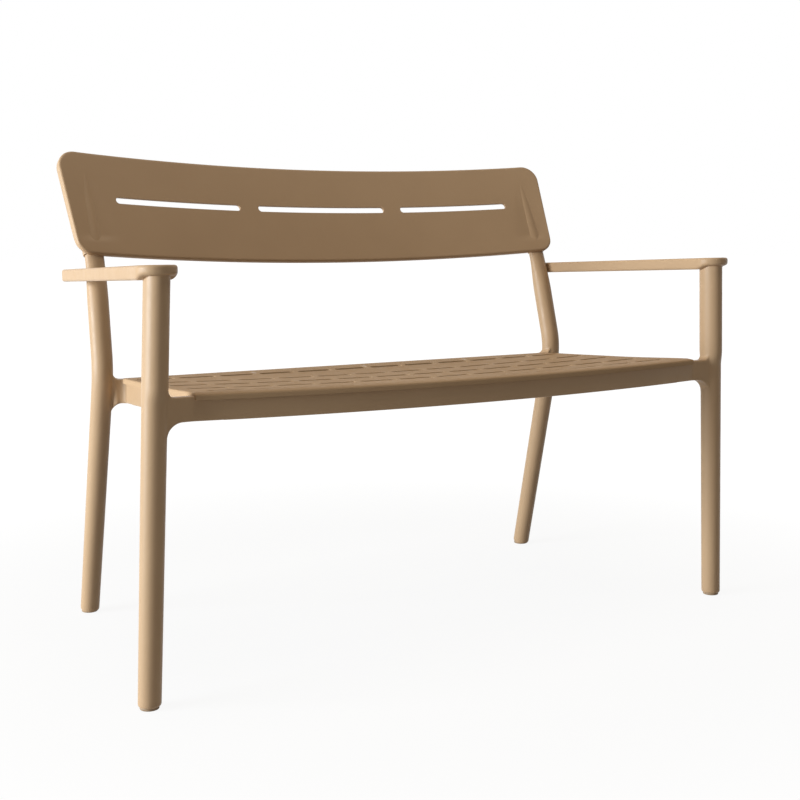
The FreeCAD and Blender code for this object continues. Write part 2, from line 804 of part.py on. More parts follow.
def back_slab(lift, depth):
    """Slab behind the front of the backrest, past its outline on every side."""
    half = back_top_half + through / 3
    low = -through / 2
    slope_pole = on_plane(0, low, -back_curve * (half / back_curve_at) ** 2 + lift)
    curve = Part.BezierCurve()
    curve.setPoles([back_point(-half, low, lift), slope_pole, back_point(half, low, lift)])
    surface = curve.toShape().extrude(panel_up * (back_height + through))
    return surface.extrude(panel_out * -depth)


def on_plane(x, rise, out):
    return V(x, back_bottom_y, back_bottom_height) + panel_up * rise + panel_out * out


def back_outline(inset):
    """Outline of the backrest as a prism along its facing direction, drawn in by the inset."""
    def corner(x, rise, radius, towards_end, sense):
        keep = radius - inset
        centre_x = x - towards_end * radius
        centre_rise = rise - sense * radius
        reach = keep * math.sin(math.radians(45))
        first = (centre_x + towards_end * keep, centre_rise)
        middle = (centre_x + towards_end * reach, centre_rise + sense * reach)
        last = (centre_x, centre_rise + sense * keep)
        return first, middle, last

    low = back_bottom_lift * (back_bottom_half / back_curve_at) ** 2
    high = back_height + back_top_lift * (back_top_half / back_curve_at) ** 2
    out = back_curve + through
    bottom_right = corner(back_bottom_half, low, back_bottom_corner, 1, -1)
    top_right = corner(back_top_half, high, back_top_corner, 1, 1)
    top_left = corner(-back_top_half, high, back_top_corner, -1, 1)
    bottom_left = corner(-back_bottom_half, low, back_bottom_corner, -1, -1)

    def at(pair):
        return on_plane(pair[0], pair[1], out)

    face = closed_face(at(bottom_right[2]), (at(bottom_right[1]), at(bottom_right[0])),
                       (at(top_right[0]),), (at(top_right[1]), at(top_right[2])),
                       (on_plane(0, back_height - inset, out), at(top_left[2])),
                       (at(top_left[1]), at(top_left[0])), (at(bottom_left[0]),),
                       (at(bottom_left[1]), at(bottom_left[2])),
                       (on_plane(0, inset, out), at(bottom_right[2])))
    return face.extrude(panel_out * -(back_curve + 4 * through))


def back_slot(x_from, x_to):
    """Round-ended slot through the backrest."""
    r = back_slot_height / 2
    out = back_curve + through
    face = closed_face(on_plane(x_from + r, back_slot_rise - r, out),
                       (on_plane(x_to - r, back_slot_rise - r, out),),
                       (on_plane(x_to, back_slot_rise, out), on_plane(x_to - r, back_slot_rise + r, out)),
                       (on_plane(x_from + r, back_slot_rise + r, out),),
                       (on_plane(x_from, back_slot_rise, out), on_plane(x_from + r, back_slot_rise - r, out)))
    return face.extrude(panel_out * -(back_curve + 4 * through))


def socket():
    """Sleeve behind the panel round the post, closed at the top."""
    wall = fit + socket_wall
    outline = faceted_ring(post_foot, panel_up, post_across, post_half_x + wall, post_half_y + wall)
    return Part.Face(outline).extrude(panel_up * (post_in_socket + socket_cap))


def back_screw_rises():
    return (post_in_socket * back_screw_low, post_in_socket * back_screw_high)


def back_screw(rise, grow):
    """Screw from behind through the socket wall into the post."""
    way = panel_up.cross(post_across) * -1
    foot = post_foot + panel_up * rise - way * (post_half_y + fit + socket_wall)
    return screw(foot, way, screw_head_radius, screw_head_height, post_half_y * 1.5, grow)


def backrest_panel():
    """Curved tray with a turned rim, open behind, with slots and two post sockets."""
    slab = back_slab(0, back_rim).common(back_outline(0))
    hollow = back_slab(-back_skin, back_rim).common(back_outline(back_rim_wall))
    tray = slab.cut(hollow)
    sleeve = socket().common(back_slab(-back_skin / 2, through))
    panel = joined([tray, sleeve, mirrored(sleeve)])
    slots = [back_slot(-back_middle_slot_half, back_middle_slot_half),
             back_slot(back_side_slot_start, back_side_slot_end),
             back_slot(-back_side_slot_end, -back_side_slot_start)]
    post = rear_leg_bar(fit)
    screws = [back_screw(rise, fit / 2) for rise in back_screw_rises()]
    for tool in slots + [post, mirrored(post)] + screws + [mirrored(s) for s in screws]:
        panel = panel.cut(tool)
    return panel


# Arms

post_at_arm = rear_leg_axis(arm_height - arm_fall + arm_thickness / 2)
arm_rear_y = post_at_arm.y + arm_past_post
arm_axis_x = front_leg_x(arm_height)


def arm_underside(y):
    return arm_height - arm_fall * y / arm_rear_y


def armrest_pin(grow):
    """Hidden pin across the joint between the arm and the rear post."""
    y = post_at_arm.y
    centre = V(post_at_arm.x + rear_leg_radius, y, arm_underside(y) + arm_thickness / 2)
    return prism(8, centre - V(pin_length / 2 + grow, 0, 0), V(1, 0, 0),
                 pin_radius + grow, pin_length + 2 * grow)


def arm_plan():
    """Plank with a round paddle over the front leg."""
    rear_outer = post_at_arm.x + arm_rear_outer
    rear_inner = post_at_arm.x + rear_leg_radius - 1
    r = arm_rear_corner
    outer_mid, outer_end = quarter(V(rear_outer - r, arm_rear_y - r, 0), r, 0, 90)
    inner_mid, inner_end = quarter(V(rear_inner + r, arm_rear_y - r, 0), r, 90, 180)
    plank = closed_face(V(arm_axis_x + arm_front_outer, 0, 0), (V(rear_outer, arm_rear_y - r, 0),),
                        (outer_mid, outer_end), (V(rear_inner + r, arm_rear_y, 0),),
                        (inner_mid, inner_end), (V(arm_axis_x - arm_front_inner, 0, 0),))
    height = 2 * arm_height
    paddle = Part.makeCylinder(arm_paddle_radius, height, V(arm_axis_x, 0, 0))
    body = joined([plank.extrude(V(0, 0, height)), paddle])
    blends = []
    for edge in body.Edges:
        low, high = edge.BoundBox.ZMin, edge.BoundBox.ZMax
        y = edge.CenterOfMass.y
        away = abs(edge.CenterOfMass.x - arm_axis_x)
        if high - low > arm_height and 1 < y < arm_paddle_radius and away > arm_paddle_radius / 2:
            blends.append(edge)
    return body.makeFillet(arm_paddle_blend, blends)


def arm_side(thickness):
    """Side view of the arm drawn through the bench: parallel faces falling to the back."""
    tip = -arm_paddle_radius - 1
    back = arm_rear_y + 1
    bevel = arm_thickness * arm_tip_bevel
    side = closed_face(V(0, tip, arm_underside(tip) + bevel), (V(0, tip + 1.5 * bevel, arm_underside(0)),),
                       (V(0, back, arm_underside(back)),), (V(0, back, arm_underside(back) + thickness),),
                       (V(0, tip, arm_underside(tip) + thickness),))
    return side.extrude(V(2 * arm_axis_x, 0, 0))


def armrest():
    """Arm bevelled along its upper edges, with a pocket for the leg and a seat for the post."""
    body = arm_plan().common(arm_side(arm_thickness))
    top_edges = []
    for edge in body.Edges:
        place = edge.CenterOfMass
        flat = edge.BoundBox.ZMax - edge.BoundBox.ZMin < arm_fall + 2
        if flat and place.z > arm_underside(place.y) + arm_thickness - 1:
            top_edges.append(edge)
    body = body.makeChamfer(arm_edge, top_edges)
    for tool in (leg_top(fit), front_arm_tenon(fit), rear_leg_bar(fit), armrest_pin(fit / 3)):
        body = body.cut(tool)
    return body


# The whole bench

def pair(name, shape):
    return {"right_" + name: shape, "left_" + name: mirrored(shape)}


def both_sides(shapes):
    return Part.makeCompound(shapes + [mirrored(shape) for shape in shapes])


def bench():
    nodes = {}
    nodes.update(pair("front_leg", front_leg()))
    nodes.update(pair("rear_leg", rear_leg()))
    nodes["front_rail"] = front_rail()
    nodes["rear_rail"] = rear_rail()
    nodes.update(pair("side_rail", side_rail()))
    nodes["seat_panel"] = seat_panel()
    for name, x in zip(("left_bearer", "centre_bearer", "right_bearer"), bearer_places()):
        nodes[name] = bearer(x)
    nodes["backrest_panel"] = backrest_panel()
    nodes.update(pair("armrest", armrest()))
    front_glide = glide(front_foot_centre(), 0)
    rear_glide = glide(rear_foot_centre(), 0)
    nodes["front_right_glide"] = front_glide
    nodes["front_left_glide"] = mirrored(front_glide)
    nodes["rear_right_glide"] = rear_glide
    nodes["rear_left_glide"] = mirrored(rear_glide)
    frame_screws = [rail_screw(p, 0) for p in front_rail_screw_places() + rear_rail_screw_places()]
    side_screws = [rail_screw(p, 0) for p in side_rail_screw_places()]
    nodes["rail_screws"] = Part.makeCompound(frame_screws + side_screws + [mirrored(s) for s in side_screws])
    nodes["seat_screws"] = Part.makeCompound([seat_screw(p, 0) for p in seat_screw_places()])
    nodes["backrest_screws"] = both_sides([back_screw(rise, 0) for rise in back_screw_rises()])
    nodes["armrest_pins"] = both_sides([armrest_pin(0)])
    return nodes


def write(nodes):
    """Move the bench so that it stands centred on the origin, and write each piece."""
    middle = (seat_front(0) + on_plane(0, back_height, -back_rim).y) / 2
    os.makedirs("parts", exist_ok=True)
    for name, shape in nodes.items():
        shape.translate(V(0, -middle, 0))
        shape.exportStep("parts/" + name + ".step")


write(bench())
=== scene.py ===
import math

import bmesh
import bpy
import numpy as np
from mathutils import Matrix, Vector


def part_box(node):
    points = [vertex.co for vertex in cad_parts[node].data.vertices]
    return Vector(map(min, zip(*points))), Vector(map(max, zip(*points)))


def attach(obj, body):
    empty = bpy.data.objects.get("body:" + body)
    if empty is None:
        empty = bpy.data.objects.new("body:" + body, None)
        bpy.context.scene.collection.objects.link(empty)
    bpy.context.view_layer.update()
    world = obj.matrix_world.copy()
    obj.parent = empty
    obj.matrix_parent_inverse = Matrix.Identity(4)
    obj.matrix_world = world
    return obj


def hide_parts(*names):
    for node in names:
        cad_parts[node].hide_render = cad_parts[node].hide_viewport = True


bl_info = {
    "name": "Garden bench dressing",
    "version": (1, 0, 0),
    "blender": (4, 5, 0),
    "location": "3D View > Sidebar > Bench",
    "description": "Smooth moulded pieces, finishes, camera and light for a two-seat garden bench",
    "category": "Object",
}

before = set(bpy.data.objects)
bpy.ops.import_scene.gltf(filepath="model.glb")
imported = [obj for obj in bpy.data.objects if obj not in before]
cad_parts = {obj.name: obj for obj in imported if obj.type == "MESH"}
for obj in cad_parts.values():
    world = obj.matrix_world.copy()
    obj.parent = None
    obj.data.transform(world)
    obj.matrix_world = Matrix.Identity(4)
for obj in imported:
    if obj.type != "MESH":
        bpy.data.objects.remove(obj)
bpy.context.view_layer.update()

# Forms below are worked out in millimetres, X along the bench, Y back from the front legs' axis at
# the floor, Z up. The front glide's middle gives how far that axis lies from the frame's origin.
glide_low, glide_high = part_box("front_right_glide")
axis_y = (glide_low[1] + glide_high[1]) / 2
foot_x = 1000 * (glide_low[0] + glide_high[0]) / 2

SEAT_FRONT_Z = 463.5
SEAT_REAR_Z = 445.5
SEAT_FRONT_HALF = 494.6
SEAT_REAR_HALF = 465.4
SEAT_FRONT_Y = -14.8
SEAT_REAR_Y = 399.5
SEAT_BOW = 47.9
SEAT_DISH_RIM = 0.28
SEAT_ROLL_WIDTH = 20.0
SEAT_ROLL_HEIGHT = 2.3
SEAT_ROLL_END = 0.45
SEAT_EDGE = 3.6
SEAT_CORNER_RADII = (3.5, 3.5, 6.0, 6.0)
SLOT_PITCH = 77.0
SLOT_ROW_PITCH = 78.0
SLOT_WEB = 9.0
SLOT_COLUMNS = 12
SLOT_ROWS = 5
SLOT_REAR_MARGIN = 57.5

OVERHANG = 6.0
RAIL_DEPTH = 26.0
RAIL_WALL = 4.0
RAIL_EDGE = 1.8
RAIL_BELOW_LID = 4.6
FRONT_RAIL_BELOW_LID = 4.8
FRONT_RAIL_Z = 423.4
REAR_RAIL_Z = 401.0
REAR_RAIL_FACE = SEAT_REAR_Y - OVERHANG

# A corner runs from its leg to the seams with two rails and laps a little way over them. A fillet of
# its web starts at its reach before the leg, and the rest of its radius lies inside the leg.
CORNER_RUN = 12.0
CORNER_LAP = 6.0
CORNER_BELOW_LID = 2.5
CORNER_EDGE = 2.2
SEAM_BLEND = 12.0
FRONT_SEAM_Y = 39.0
FRONT_WEB = 12.0
FRONT_BEND = 14.0
FRONT_LOW_FILLET = 26.0
FRONT_LOW_REACH = 23.0
FRONT_TOP_FILLET = 9.0
FRONT_TOP_REACH = 8.0
REAR_WEB_BEFORE = 11.0
REAR_WEB_BEHIND = 10.0
REAR_WEB_SLANT = 0.967
REAR_BEND = 12.0
REAR_LOW_FILLET = 18.0
REAR_LOW_REACH = 15.0
REAR_TOP_FILLET = 12.0
REAR_TOP_REACH = 10.0

ARM_Z = 630.0
ARM_FALL = 17.8
ARM_THICK = 21.3
ARM_REAR_Y = 482.0
ARM_CORNER_R = 9.0
ARM_REAR_OUTER = 541.3
ARM_REAR_MIDDLE = 523.0
ARM_REAR_INNER = 505.0
ARM_FLARE = 3.4
ARM_FLARE_RUN = 60.0
PADDLE_R = 30.0
PADDLE_THINNER = 6.0
PADDLE_START = 12.0
PADDLE_RUN = 28.0
LEG_TOP_X = 543.5
LEG_FOOT_R = 17.5
LEG_FOOT_EDGE = 3.0
LEG_R = 19.0
LEG_OVAL_Y = 22.6
LEG_OVAL_RISE = 28.0
LEG_IN_ARM = 10.0
GLIDE_Z = 4.0

KINK = np.array([494.0, 411.0, 456.4])
KINK_REACH = 34.0
REAR_FOOT = np.array([498.6, 519.0, 0.0])
REAR_FOOT_R = 17.0
REAR_FOOT_EDGE = 3.2
REAR_R = 18.4

RECLINE = math.radians(26.1)
BACK_BASE = np.array([0.0, 475.0, 640.6])
BACK_UP = np.array([0.0, math.sin(RECLINE), math.cos(RECLINE)])
BACK_OUT = np.array([0.0, -math.cos(RECLINE), math.sin(RECLINE)])
BACK_HEIGHT = 204.7
BACK_LOW_HALF = 517.7
BACK_TOP_HALF = 531.3
BACK_CURVE = 44.7
BACK_CURVE_AT = 540.0
BACK_LOW_LIFT = 3.1
BACK_TOP_LIFT = 2.1
BACK_LOW_RISE = 2.8
BACK_CORNER_RADII = (28.0, 28.0, 34.0, 34.0)
BACK_EDGE = 4.5
BACK_RIM = 16.0
BACK_LOW_RIM = 9.0
BACK_SLOT_RISE = 114.3
BACK_SLOT_BAND = 60.0
MIDDLE_SLOT_HALF = 140.8
SIDE_SLOT = (179.4, 431.5)
SIDE_SLOT_MARGIN = 24.0
POST_FOOT = np.array([486.3, 459.2, 655.0])
POST_HALF = (17.0, 12.0)
POST_FLAT_RUN = 80.0
POST_REACH = 36.0
SOCKET_WALL = 3.3

# A valley of the backrest gets deeper from its top to its foot and has faded out at its end. Its
# inner slope has one width at the top and one at the foot.
VALLEY_X = 484.0
VALLEY_TOP = 172.0
VALLEY_FOOT = 44.0
VALLEY_END = 28.0
VALLEY_INNER = (8.0, 40.0)
VALLEY_OUTER = 34.0
VALLEY_FLOOR = 11.0
VALLEY_EASE = 0.15

# The camera's place is in metres, with Y from the front legs' axis. Its focal length is in pixels.
CAMERA_PLACE = (-1.1687, -1.6949, 0.6931)
CAMERA_DOWN = 7.56
CAMERA_RIGHT = 31.30
FOCAL_LENGTH = 1241.1
PHOTO_WIDTH = 800.0
SENSOR_WIDTH = 36.0

# Steps of a quarter circle, without its start
QUARTER = np.radians((15, 30, 45, 60, 75, 90))


# Settings that a user would change

def length_setting(name, description, default):
    """Setting that holds a length in metres."""
    return bpy.props.FloatProperty(name=name, description=description, default=default, unit="LENGTH")


def colour_setting(name, description, default):
    """Setting that holds a colour."""
    return bpy.props.FloatVectorProperty(name=name, description=description, default=default,
                                         subtype="COLOR", size=3, min=0.0, max=1.0)


class BenchSizes(bpy.types.PropertyGroup):
    dish: length_setting("Seat dish", "Depth of the hollow in the middle of the seat", 0.008)
    slot_width: length_setting("Seat slot width", "Width of the short slots in the seat", 0.0135)
    lip: length_setting("Seat lip", "Height of the turned-down edge of the seat", 0.009)
    sheet: length_setting("Seat sheet", "Thickness of the seat's moulded sheet", 0.004)
    back_sheet: length_setting("Backrest sheet", "Thickness of the backrest's moulded sheet", 0.005)
    back_slot: length_setting("Backrest slot height", "Height of the three long slots in the backrest",
                              0.0132)
    groove: length_setting("End groove", "Depth of the soft valley near each end of the backrest", 0.0026)
    arm_round: length_setting("Arm edge", "Radius of the rounded edges of the arms", 0.0044)
    voxel: length_setting("Leg cell", "Cell size at which a leg and its corner are merged", 0.0015)


class BenchFinishes(bpy.types.PropertyGroup):
    resin: colour_setting("Resin", "Colour of the moulded pieces", (0.465, 0.311, 0.184))
    resin_deep: colour_setting("Resin, deeper tone", "Second tone in the cloudy variation of the resin",
                               (0.44, 0.292, 0.171))
    glide: colour_setting("Glides", "Colour of the push-in feet", (0.22, 0.15, 0.09))
    steel: colour_setting("Screws", "Colour of the screws and pins", (0.45, 0.44, 0.42))
    floor: colour_setting("Floor", "Colour of the floor", (0.62, 0.61, 0.6))


# Small tools

def smooth(value):
    """Ease from 0 to 1 with level ends."""
    part = np.clip(value, 0.0, 1.0)
    return part * part * (3.0 - 2.0 * part)


def mix(first, second, share):
    """Value at a share of the way from first to second."""
    return first + (second - first) * share


def grid_faces(rows, columns, closed):
    """Quads between neighbours of a grid numbered row by row; closed joins the last column to the first."""
    row = (np.arange(rows - 1) * columns)[:, None]
    here = np.arange(columns if closed else columns - 1)[None, :]
    beside = (here + 1) % columns
    quads = np.stack([row + here, row + beside, row + beside + columns, row + here + columns], -1)
    return quads.reshape(-1, 4)


def even(path, count, bend=0.0):
    """Count + 1 points at even steps along a polyline, closer where it bends.

    A bend adds its turn in radians times the given length to the run.
    """
    step = np.diff(path, axis=0)
    length = np.linalg.norm(step, axis=1)
    heading = np.arctan2(step[:, 1], step[:, 0])
    turn = np.abs((np.diff(heading) + math.pi) % (2 * math.pi) - math.pi)
    turn = np.concatenate([[0.0], turn]) + np.concatenate([turn, [0.0]])
    run = np.concatenate([[0.0], np.cumsum(length + bend * turn / 2)])
    at = np.linspace(0.0, run[-1], count + 1)
    return np.stack([np.interp(at, run, path[:, k]) for k in range(path.shape[1])], -1)


def arc(centre, radius, first, last, count):
    """Points on a circular arc in a plane, from one direction to another in degrees."""
    turn = np.radians(np.linspace(first, last, count + 1))
    return np.stack([centre[0] + radius * np.cos(turn), centre[1] + radius * np.sin(turn)], -1)


def straight(first, last, count):
    """Points at even steps along a straight line, without its last point."""
    return mix(np.array(first), np.array(last), np.linspace(0, 1, count + 1)[:-1, None])


def build(name, parts, outward=None):
    """One object from (points in millimetres, faces) parts, with doubles merged and faces outwards.

    outward, where given, is a direction that most faces of an open sheet look along.
    """
    points, faces, base = [], [], 0
    for some_points, some_faces in parts:
        points.append(np.asarray(some_points, float).reshape(-1, 3))
        faces += [[int(index) + base for index in face] for face in some_faces]
        base += len(points[-1])
    whole = np.vstack(points) / 1000.0
    whole[:, 1] += axis_y
    mesh = bpy.data.meshes.new(name)
    mesh.from_pydata(whole.tolist(), [], faces)
    shape = bmesh.new()
    shape.from_mesh(mesh)
    bmesh.ops.remove_doubles(shape, verts=shape.verts, dist=1e-5)
    bmesh.ops.recalc_face_normals(shape, faces=shape.faces)
    if outward is not None:
        look = sum((face.normal.dot(outward) * face.calc_area() for face in shape.faces), 0.0)
        if look < 0:
            bmesh.ops.reverse_faces(shape, faces=shape.faces)
    shape.to_mesh(mesh)
    shape.free()
    mesh.shade_smooth()
    mesh.set_sharp_from_angle(angle=math.radians(40))
    piece = bpy.data.objects.new(name, mesh)
    bpy.context.scene.collection.objects.link(piece)
    return piece


def rings(points):
    """Part for build: rows of points as closed rings, each joined to the next."""
    points = np.asarray(points)
    return points, grid_faces(points.shape[0], points.shape[1], True)


def band(points):
    """Part for build: closed rings along a path, with one flat face over each end."""
    rows, columns = points.shape[:2]
    last = (rows - 1) * columns
    ends = [list(range(columns)), list(range(last, last + columns))]
    return points, grid_faces(rows, columns, True).tolist() + ends


def finish(piece, slot, material, *nodes):
    """The piece gets its finish, rides with the bench and stands for its CAD nodes."""
    piece.data.materials.clear()
    piece.data.materials.append(material)
    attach(piece, "root")
    if nodes:
        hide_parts(*nodes)


def both(points):
    """The same points on the right and on the left of the bench."""
    return (("right", points), ("left", points * np.array([-1.0, 1.0, 1.0])))


# Finishes

def new_material(name):
    """Node material with its shader, and the object's own coordinates to drive patterns."""
    material = bpy.data.materials.new(name)
    material.use_nodes = True
    tree = material.node_tree
    place = tree.nodes.new("ShaderNodeTexCoord").outputs["Object"]
    return material, tree, tree.nodes["Principled BSDF"], place


def noise(tree, place, scale, detail):
    """Cloudy pattern with about scale patches to a metre, and finer ones within them by detail."""
    node = tree.nodes.new("ShaderNodeTexNoise")
    node.inputs["Scale"].default_value = scale
    node.inputs["Detail"].default_value = detail
    tree.links.new(place, node.inputs["Vector"])
    return node.outputs["Fac"]


def spread(tree, value, low, high):
    """The middle of a noise spread over a range of values."""
    node = tree.nodes.new("ShaderNodeMapRange")
    node.inputs["From Min"].default_value = 0.3
    node.inputs["From Max"].default_value = 0.7
    node.inputs["To Min"].default_value = low
    node.inputs["To Max"].default_value = high
    tree.links.new(value, node.inputs["Value"])
    return node.outputs["Result"]


def two_tones(tree, value, first, second):
    """Colour between two tones, by a value from 0 to 1."""
    node = tree.nodes.new("ShaderNodeMix")
    node.data_type = "RGBA"
    node.inputs["A"].default_value = (*first, 1.0)
    node.inputs["B"].default_value = (*second, 1.0)
    tree.links.new(value, node.inputs["Factor"])
    return node.outputs["Result"]


def moulded_resin(finishes, name="moulded resin", satin=(0.36, 0.46), gloss=0.22):
    """Satin moulded resin: slow clouds of two near tones, uneven satin, and a fine stippled grain."""
    material = bpy.data.materials.get(name)
    if material:
        return material
    material, tree, shader, place = new_material(name)
    clouds = spread(tree, noise(tree, place, 7.0, 4.0), 0.0, 1.0)
    colour = two_tones(tree, clouds, finishes.resin, finishes.resin_deep)
    tree.links.new(colour, shader.inputs["Base Color"])
    tree.links.new(spread(tree, noise(tree, place, 60.0, 3.0), *satin), shader.inputs["Roughness"])
    grain = tree.nodes.new("ShaderNodeBump")
    grain.inputs["Strength"].default_value = 0.10
    grain.inputs["Distance"].default_value = 0.0003
    tree.links.new(noise(tree, place, 1400.0, 2.0), grain.inputs["Height"])
    tree.links.new(grain.outputs["Normal"], shader.inputs["Normal"])
    shader.inputs["Specular IOR Level"].default_value = gloss
    return material


def rubbery_plastic(finishes):
    """Dark matt plastic of the feet, a little dusty and scuffed."""
    material, tree, shader, place = new_material("dark plastic")
    dusty = tuple(min(1.0, channel * 1.8) for channel in finishes.glide)
    dust = spread(tree, noise(tree, place, 220.0, 4.0), 0.0, 1.0)
    tree.links.new(two_tones(tree, dust, finishes.glide, dusty), shader.inputs["Base Color"])
    tree.links.new(spread(tree, dust, 0.55, 0.75), shader.inputs["Roughness"])
    return material


def zinc_steel(finishes):
    """Zinc-plated steel of the screws and pins: cloudy brightness and uneven polish."""
    material, tree, shader, place = new_material("zinc steel")
    darker = tuple(channel * 0.8 for channel in finishes.steel)
    clouds = spread(tree, noise(tree, place, 400.0, 3.0), 0.0, 1.0)
    tree.links.new(two_tones(tree, clouds, finishes.steel, darker), shader.inputs["Base Color"])
    tree.links.new(spread(tree, clouds, 0.25, 0.4), shader.inputs["Roughness"])
    shader.inputs["Metallic"].default_value = 1.0
    return material


# Sheets with slots: the seat and the backrest

def slot_cell(width, height, slot_length, slot_height, side, turn, shares):
    """Grid round one slot: rows go from the slot's edge (share 0) to its rectangle (share 1).

    Each column joins a point of the round-ended slot to a point of the rectangle round it, in step.
    Side is the count of steps along a long side, and turn the count in an eighth of a circle.
    """
    r = slot_height / 2
    a = slot_length / 2 - r
    lower = np.vstack([arc((-a, 0), r, 225, 270, turn),
                       straight((-a, -r), (a, -r), side - 2 * turn)[1:],
                       arc((a, 0), r, 270, 315, turn)])
    right = arc((a, 0), r, -45, 45, 2 * turn)
    inner = np.vstack([lower[:-1], right[:-1], -lower[:-1], -right[:-1]])
    w, h = width / 2, height / 2
    outer = np.vstack([straight((-w, -h), (w, -h), side), straight((w, -h), (w, h), 2 * turn),
                       straight((w, h), (-w, h), side), straight((-w, h), (-w, -h), 2 * turn)])
    return mix(inner[None], outer[None], np.array(shares)[:, None, None])


def block_edge(x_steps, y_steps):
    """Points round a rectangular block of cells, from its lower left corner, by its grid steps."""
    low = np.stack([x_steps, np.full(len(x_steps), y_steps[0])], -1)
    right = np.stack([np.full(len(y_steps), x_steps[-1]), y_steps], -1)
    high = np.stack([x_steps[::-1], np.full(len(x_steps), y_steps[-1])], -1)
    left = np.stack([np.full(len(y_steps), x_steps[0]), y_steps[::-1]], -1)
    return np.vstack([low[:-1], right[:-1], high[:-1], left[:-1]])


def inward(outline):
    """Unit directions square to a closed outline that runs anticlockwise, towards its inside."""
    along = np.roll(outline, -1, axis=0) - np.roll(outline, 1, axis=0)
    along /= np.linalg.norm(along, axis=1)[:, None]
    return np.stack([-along[:, 1], along[:, 0]], -1)


def rounded_corners(corners, radii, count):
    """Two halves of the arc at each corner of a convex outline: (up to the corner, after it).

    An arc turns evenly from its start to its end about a centre on the line that halves the corner.
    """
    halves = []
    share = np.linspace(0, 1, 2 * count + 1)[:, None]
    for index, radius in enumerate(radii):
        here = np.array(corners[index])
        before = np.array(corners[index - 1]) - here
        after = np.array(corners[(index + 1) % len(corners)]) - here
        before /= np.linalg.norm(before)
        after /= np.linalg.norm(after)
        half_turn = math.acos(np.clip(before @ after, -1, 1)) / 2
        reach = radius / math.tan(half_turn)
        middle = (before + after) / np.linalg.norm(before + after) * (radius / math.sin(half_turn))
        centre = here + middle
        start = here + before * reach - centre
        end = here + after * reach - centre
        opening = math.acos(np.clip(start @ end / radius ** 2, -1, 1))
        turned = np.sin((1 - share) * opening) * start + np.sin(share * opening) * end
        points = centre + turned / math.sin(opening)
        halves.append((points[:count + 1], points[count:]))
    return halves


def edge_rings(outline, radius):
    """Rings of an outline's rounded edge, each with its drop: a quarter circle in from the outline."""
    to_inside = inward(outline)
    for turn in QUARTER:
        yield outline + to_inside * (radius * (1 - math.sin(turn))), radius * (1 - math.cos(turn))


# Seat

def seat_front(x):
    """Front edge of the seat, a parabola bowed forward."""
    return SEAT_FRONT_Y - SEAT_BOW * (1 - (x / SEAT_FRONT_HALF) ** 2)


def seat_half(y):
    """Half the width of the seat, which narrows evenly to the back."""
    return mix(SEAT_FRONT_HALF, SEAT_REAR_HALF, (y - SEAT_FRONT_Y) / (SEAT_REAR_Y - SEAT_FRONT_Y))


def lid_level(y):
    """Height of the seat without its dish and roll, which falls evenly to the back."""
    return mix(SEAT_FRONT_Z, SEAT_REAR_Z, (y - SEAT_FRONT_Y) / (SEAT_REAR_Y - SEAT_FRONT_Y))


def seat_top(plan, dish):
    """Plan points set on the top of the seat: a fall to the back, a rolled front edge and a dish."""
    x, y = plan[..., 0], plan[..., 1]
    front = seat_front(x)
    share = np.clip((y - front) / (SEAT_REAR_Y - front), 0, 1)
    level = mix(SEAT_FRONT_Z, SEAT_REAR_Z, share)
    hollow = dish * smooth(share / SEAT_DISH_RIM) * smooth((1 - share) / SEAT_DISH_RIM)
    hollow = hollow * np.clip(1 - (x / seat_half(y)) ** 2, 0, 1)
    roll = np.clip(y - front, 0, SEAT_ROLL_WIDTH) / SEAT_ROLL_WIDTH
    crown = SEAT_ROLL_HEIGHT * (1 - (1 - roll) ** 2) * (1 - smooth(share / SEAT_ROLL_END))
    return np.concatenate([plan, (level - hollow + crown)[..., None]], -1)


def seat_outline(columns, rows):
    """Closed outline of the seat, anticlockwise from the front left corner's middle."""
    x = np.linspace(-1, 1, 161) * SEAT_FRONT_HALF
    bow = np.stack([x, seat_front(x)], -1)
    slope = 2 * SEAT_BOW / SEAT_FRONT_HALF
    corners = [(-SEAT_FRONT_HALF, SEAT_FRONT_Y), (SEAT_FRONT_HALF, SEAT_FRONT_Y),
               (SEAT_REAR_HALF, SEAT_REAR_Y), (-SEAT_REAR_HALF, SEAT_REAR_Y)]
    halves = rounded_corners(corners, SEAT_CORNER_RADII, 4)
    # at a front corner the neighbour along the bow is a point on the bow's end tangent
    left_corners = [corners[0], (corners[0][0] + 50, corners[0][1] - 50 * slope), *corners[2:]]
    left_before, left_after = rounded_corners(left_corners, SEAT_CORNER_RADII, 4)[0]
    keep = np.abs(x) < SEAT_FRONT_HALF - 8.0
    mirror = np.array([-1.0, 1.0])
    front = np.vstack([left_after, bow[keep], (left_after * mirror)[::-1]])
    right = np.vstack([(left_before * mirror)[::-1], halves[2][0]])
    back = np.vstack([halves[2][1], halves[3][0]])
    left = np.vstack([halves[3][1], left_before])
    return np.vstack([even(front, columns)[:-1], even(right, rows)[:-1],
                      even(back, columns)[:-1], even(left, rows)[:-1]])


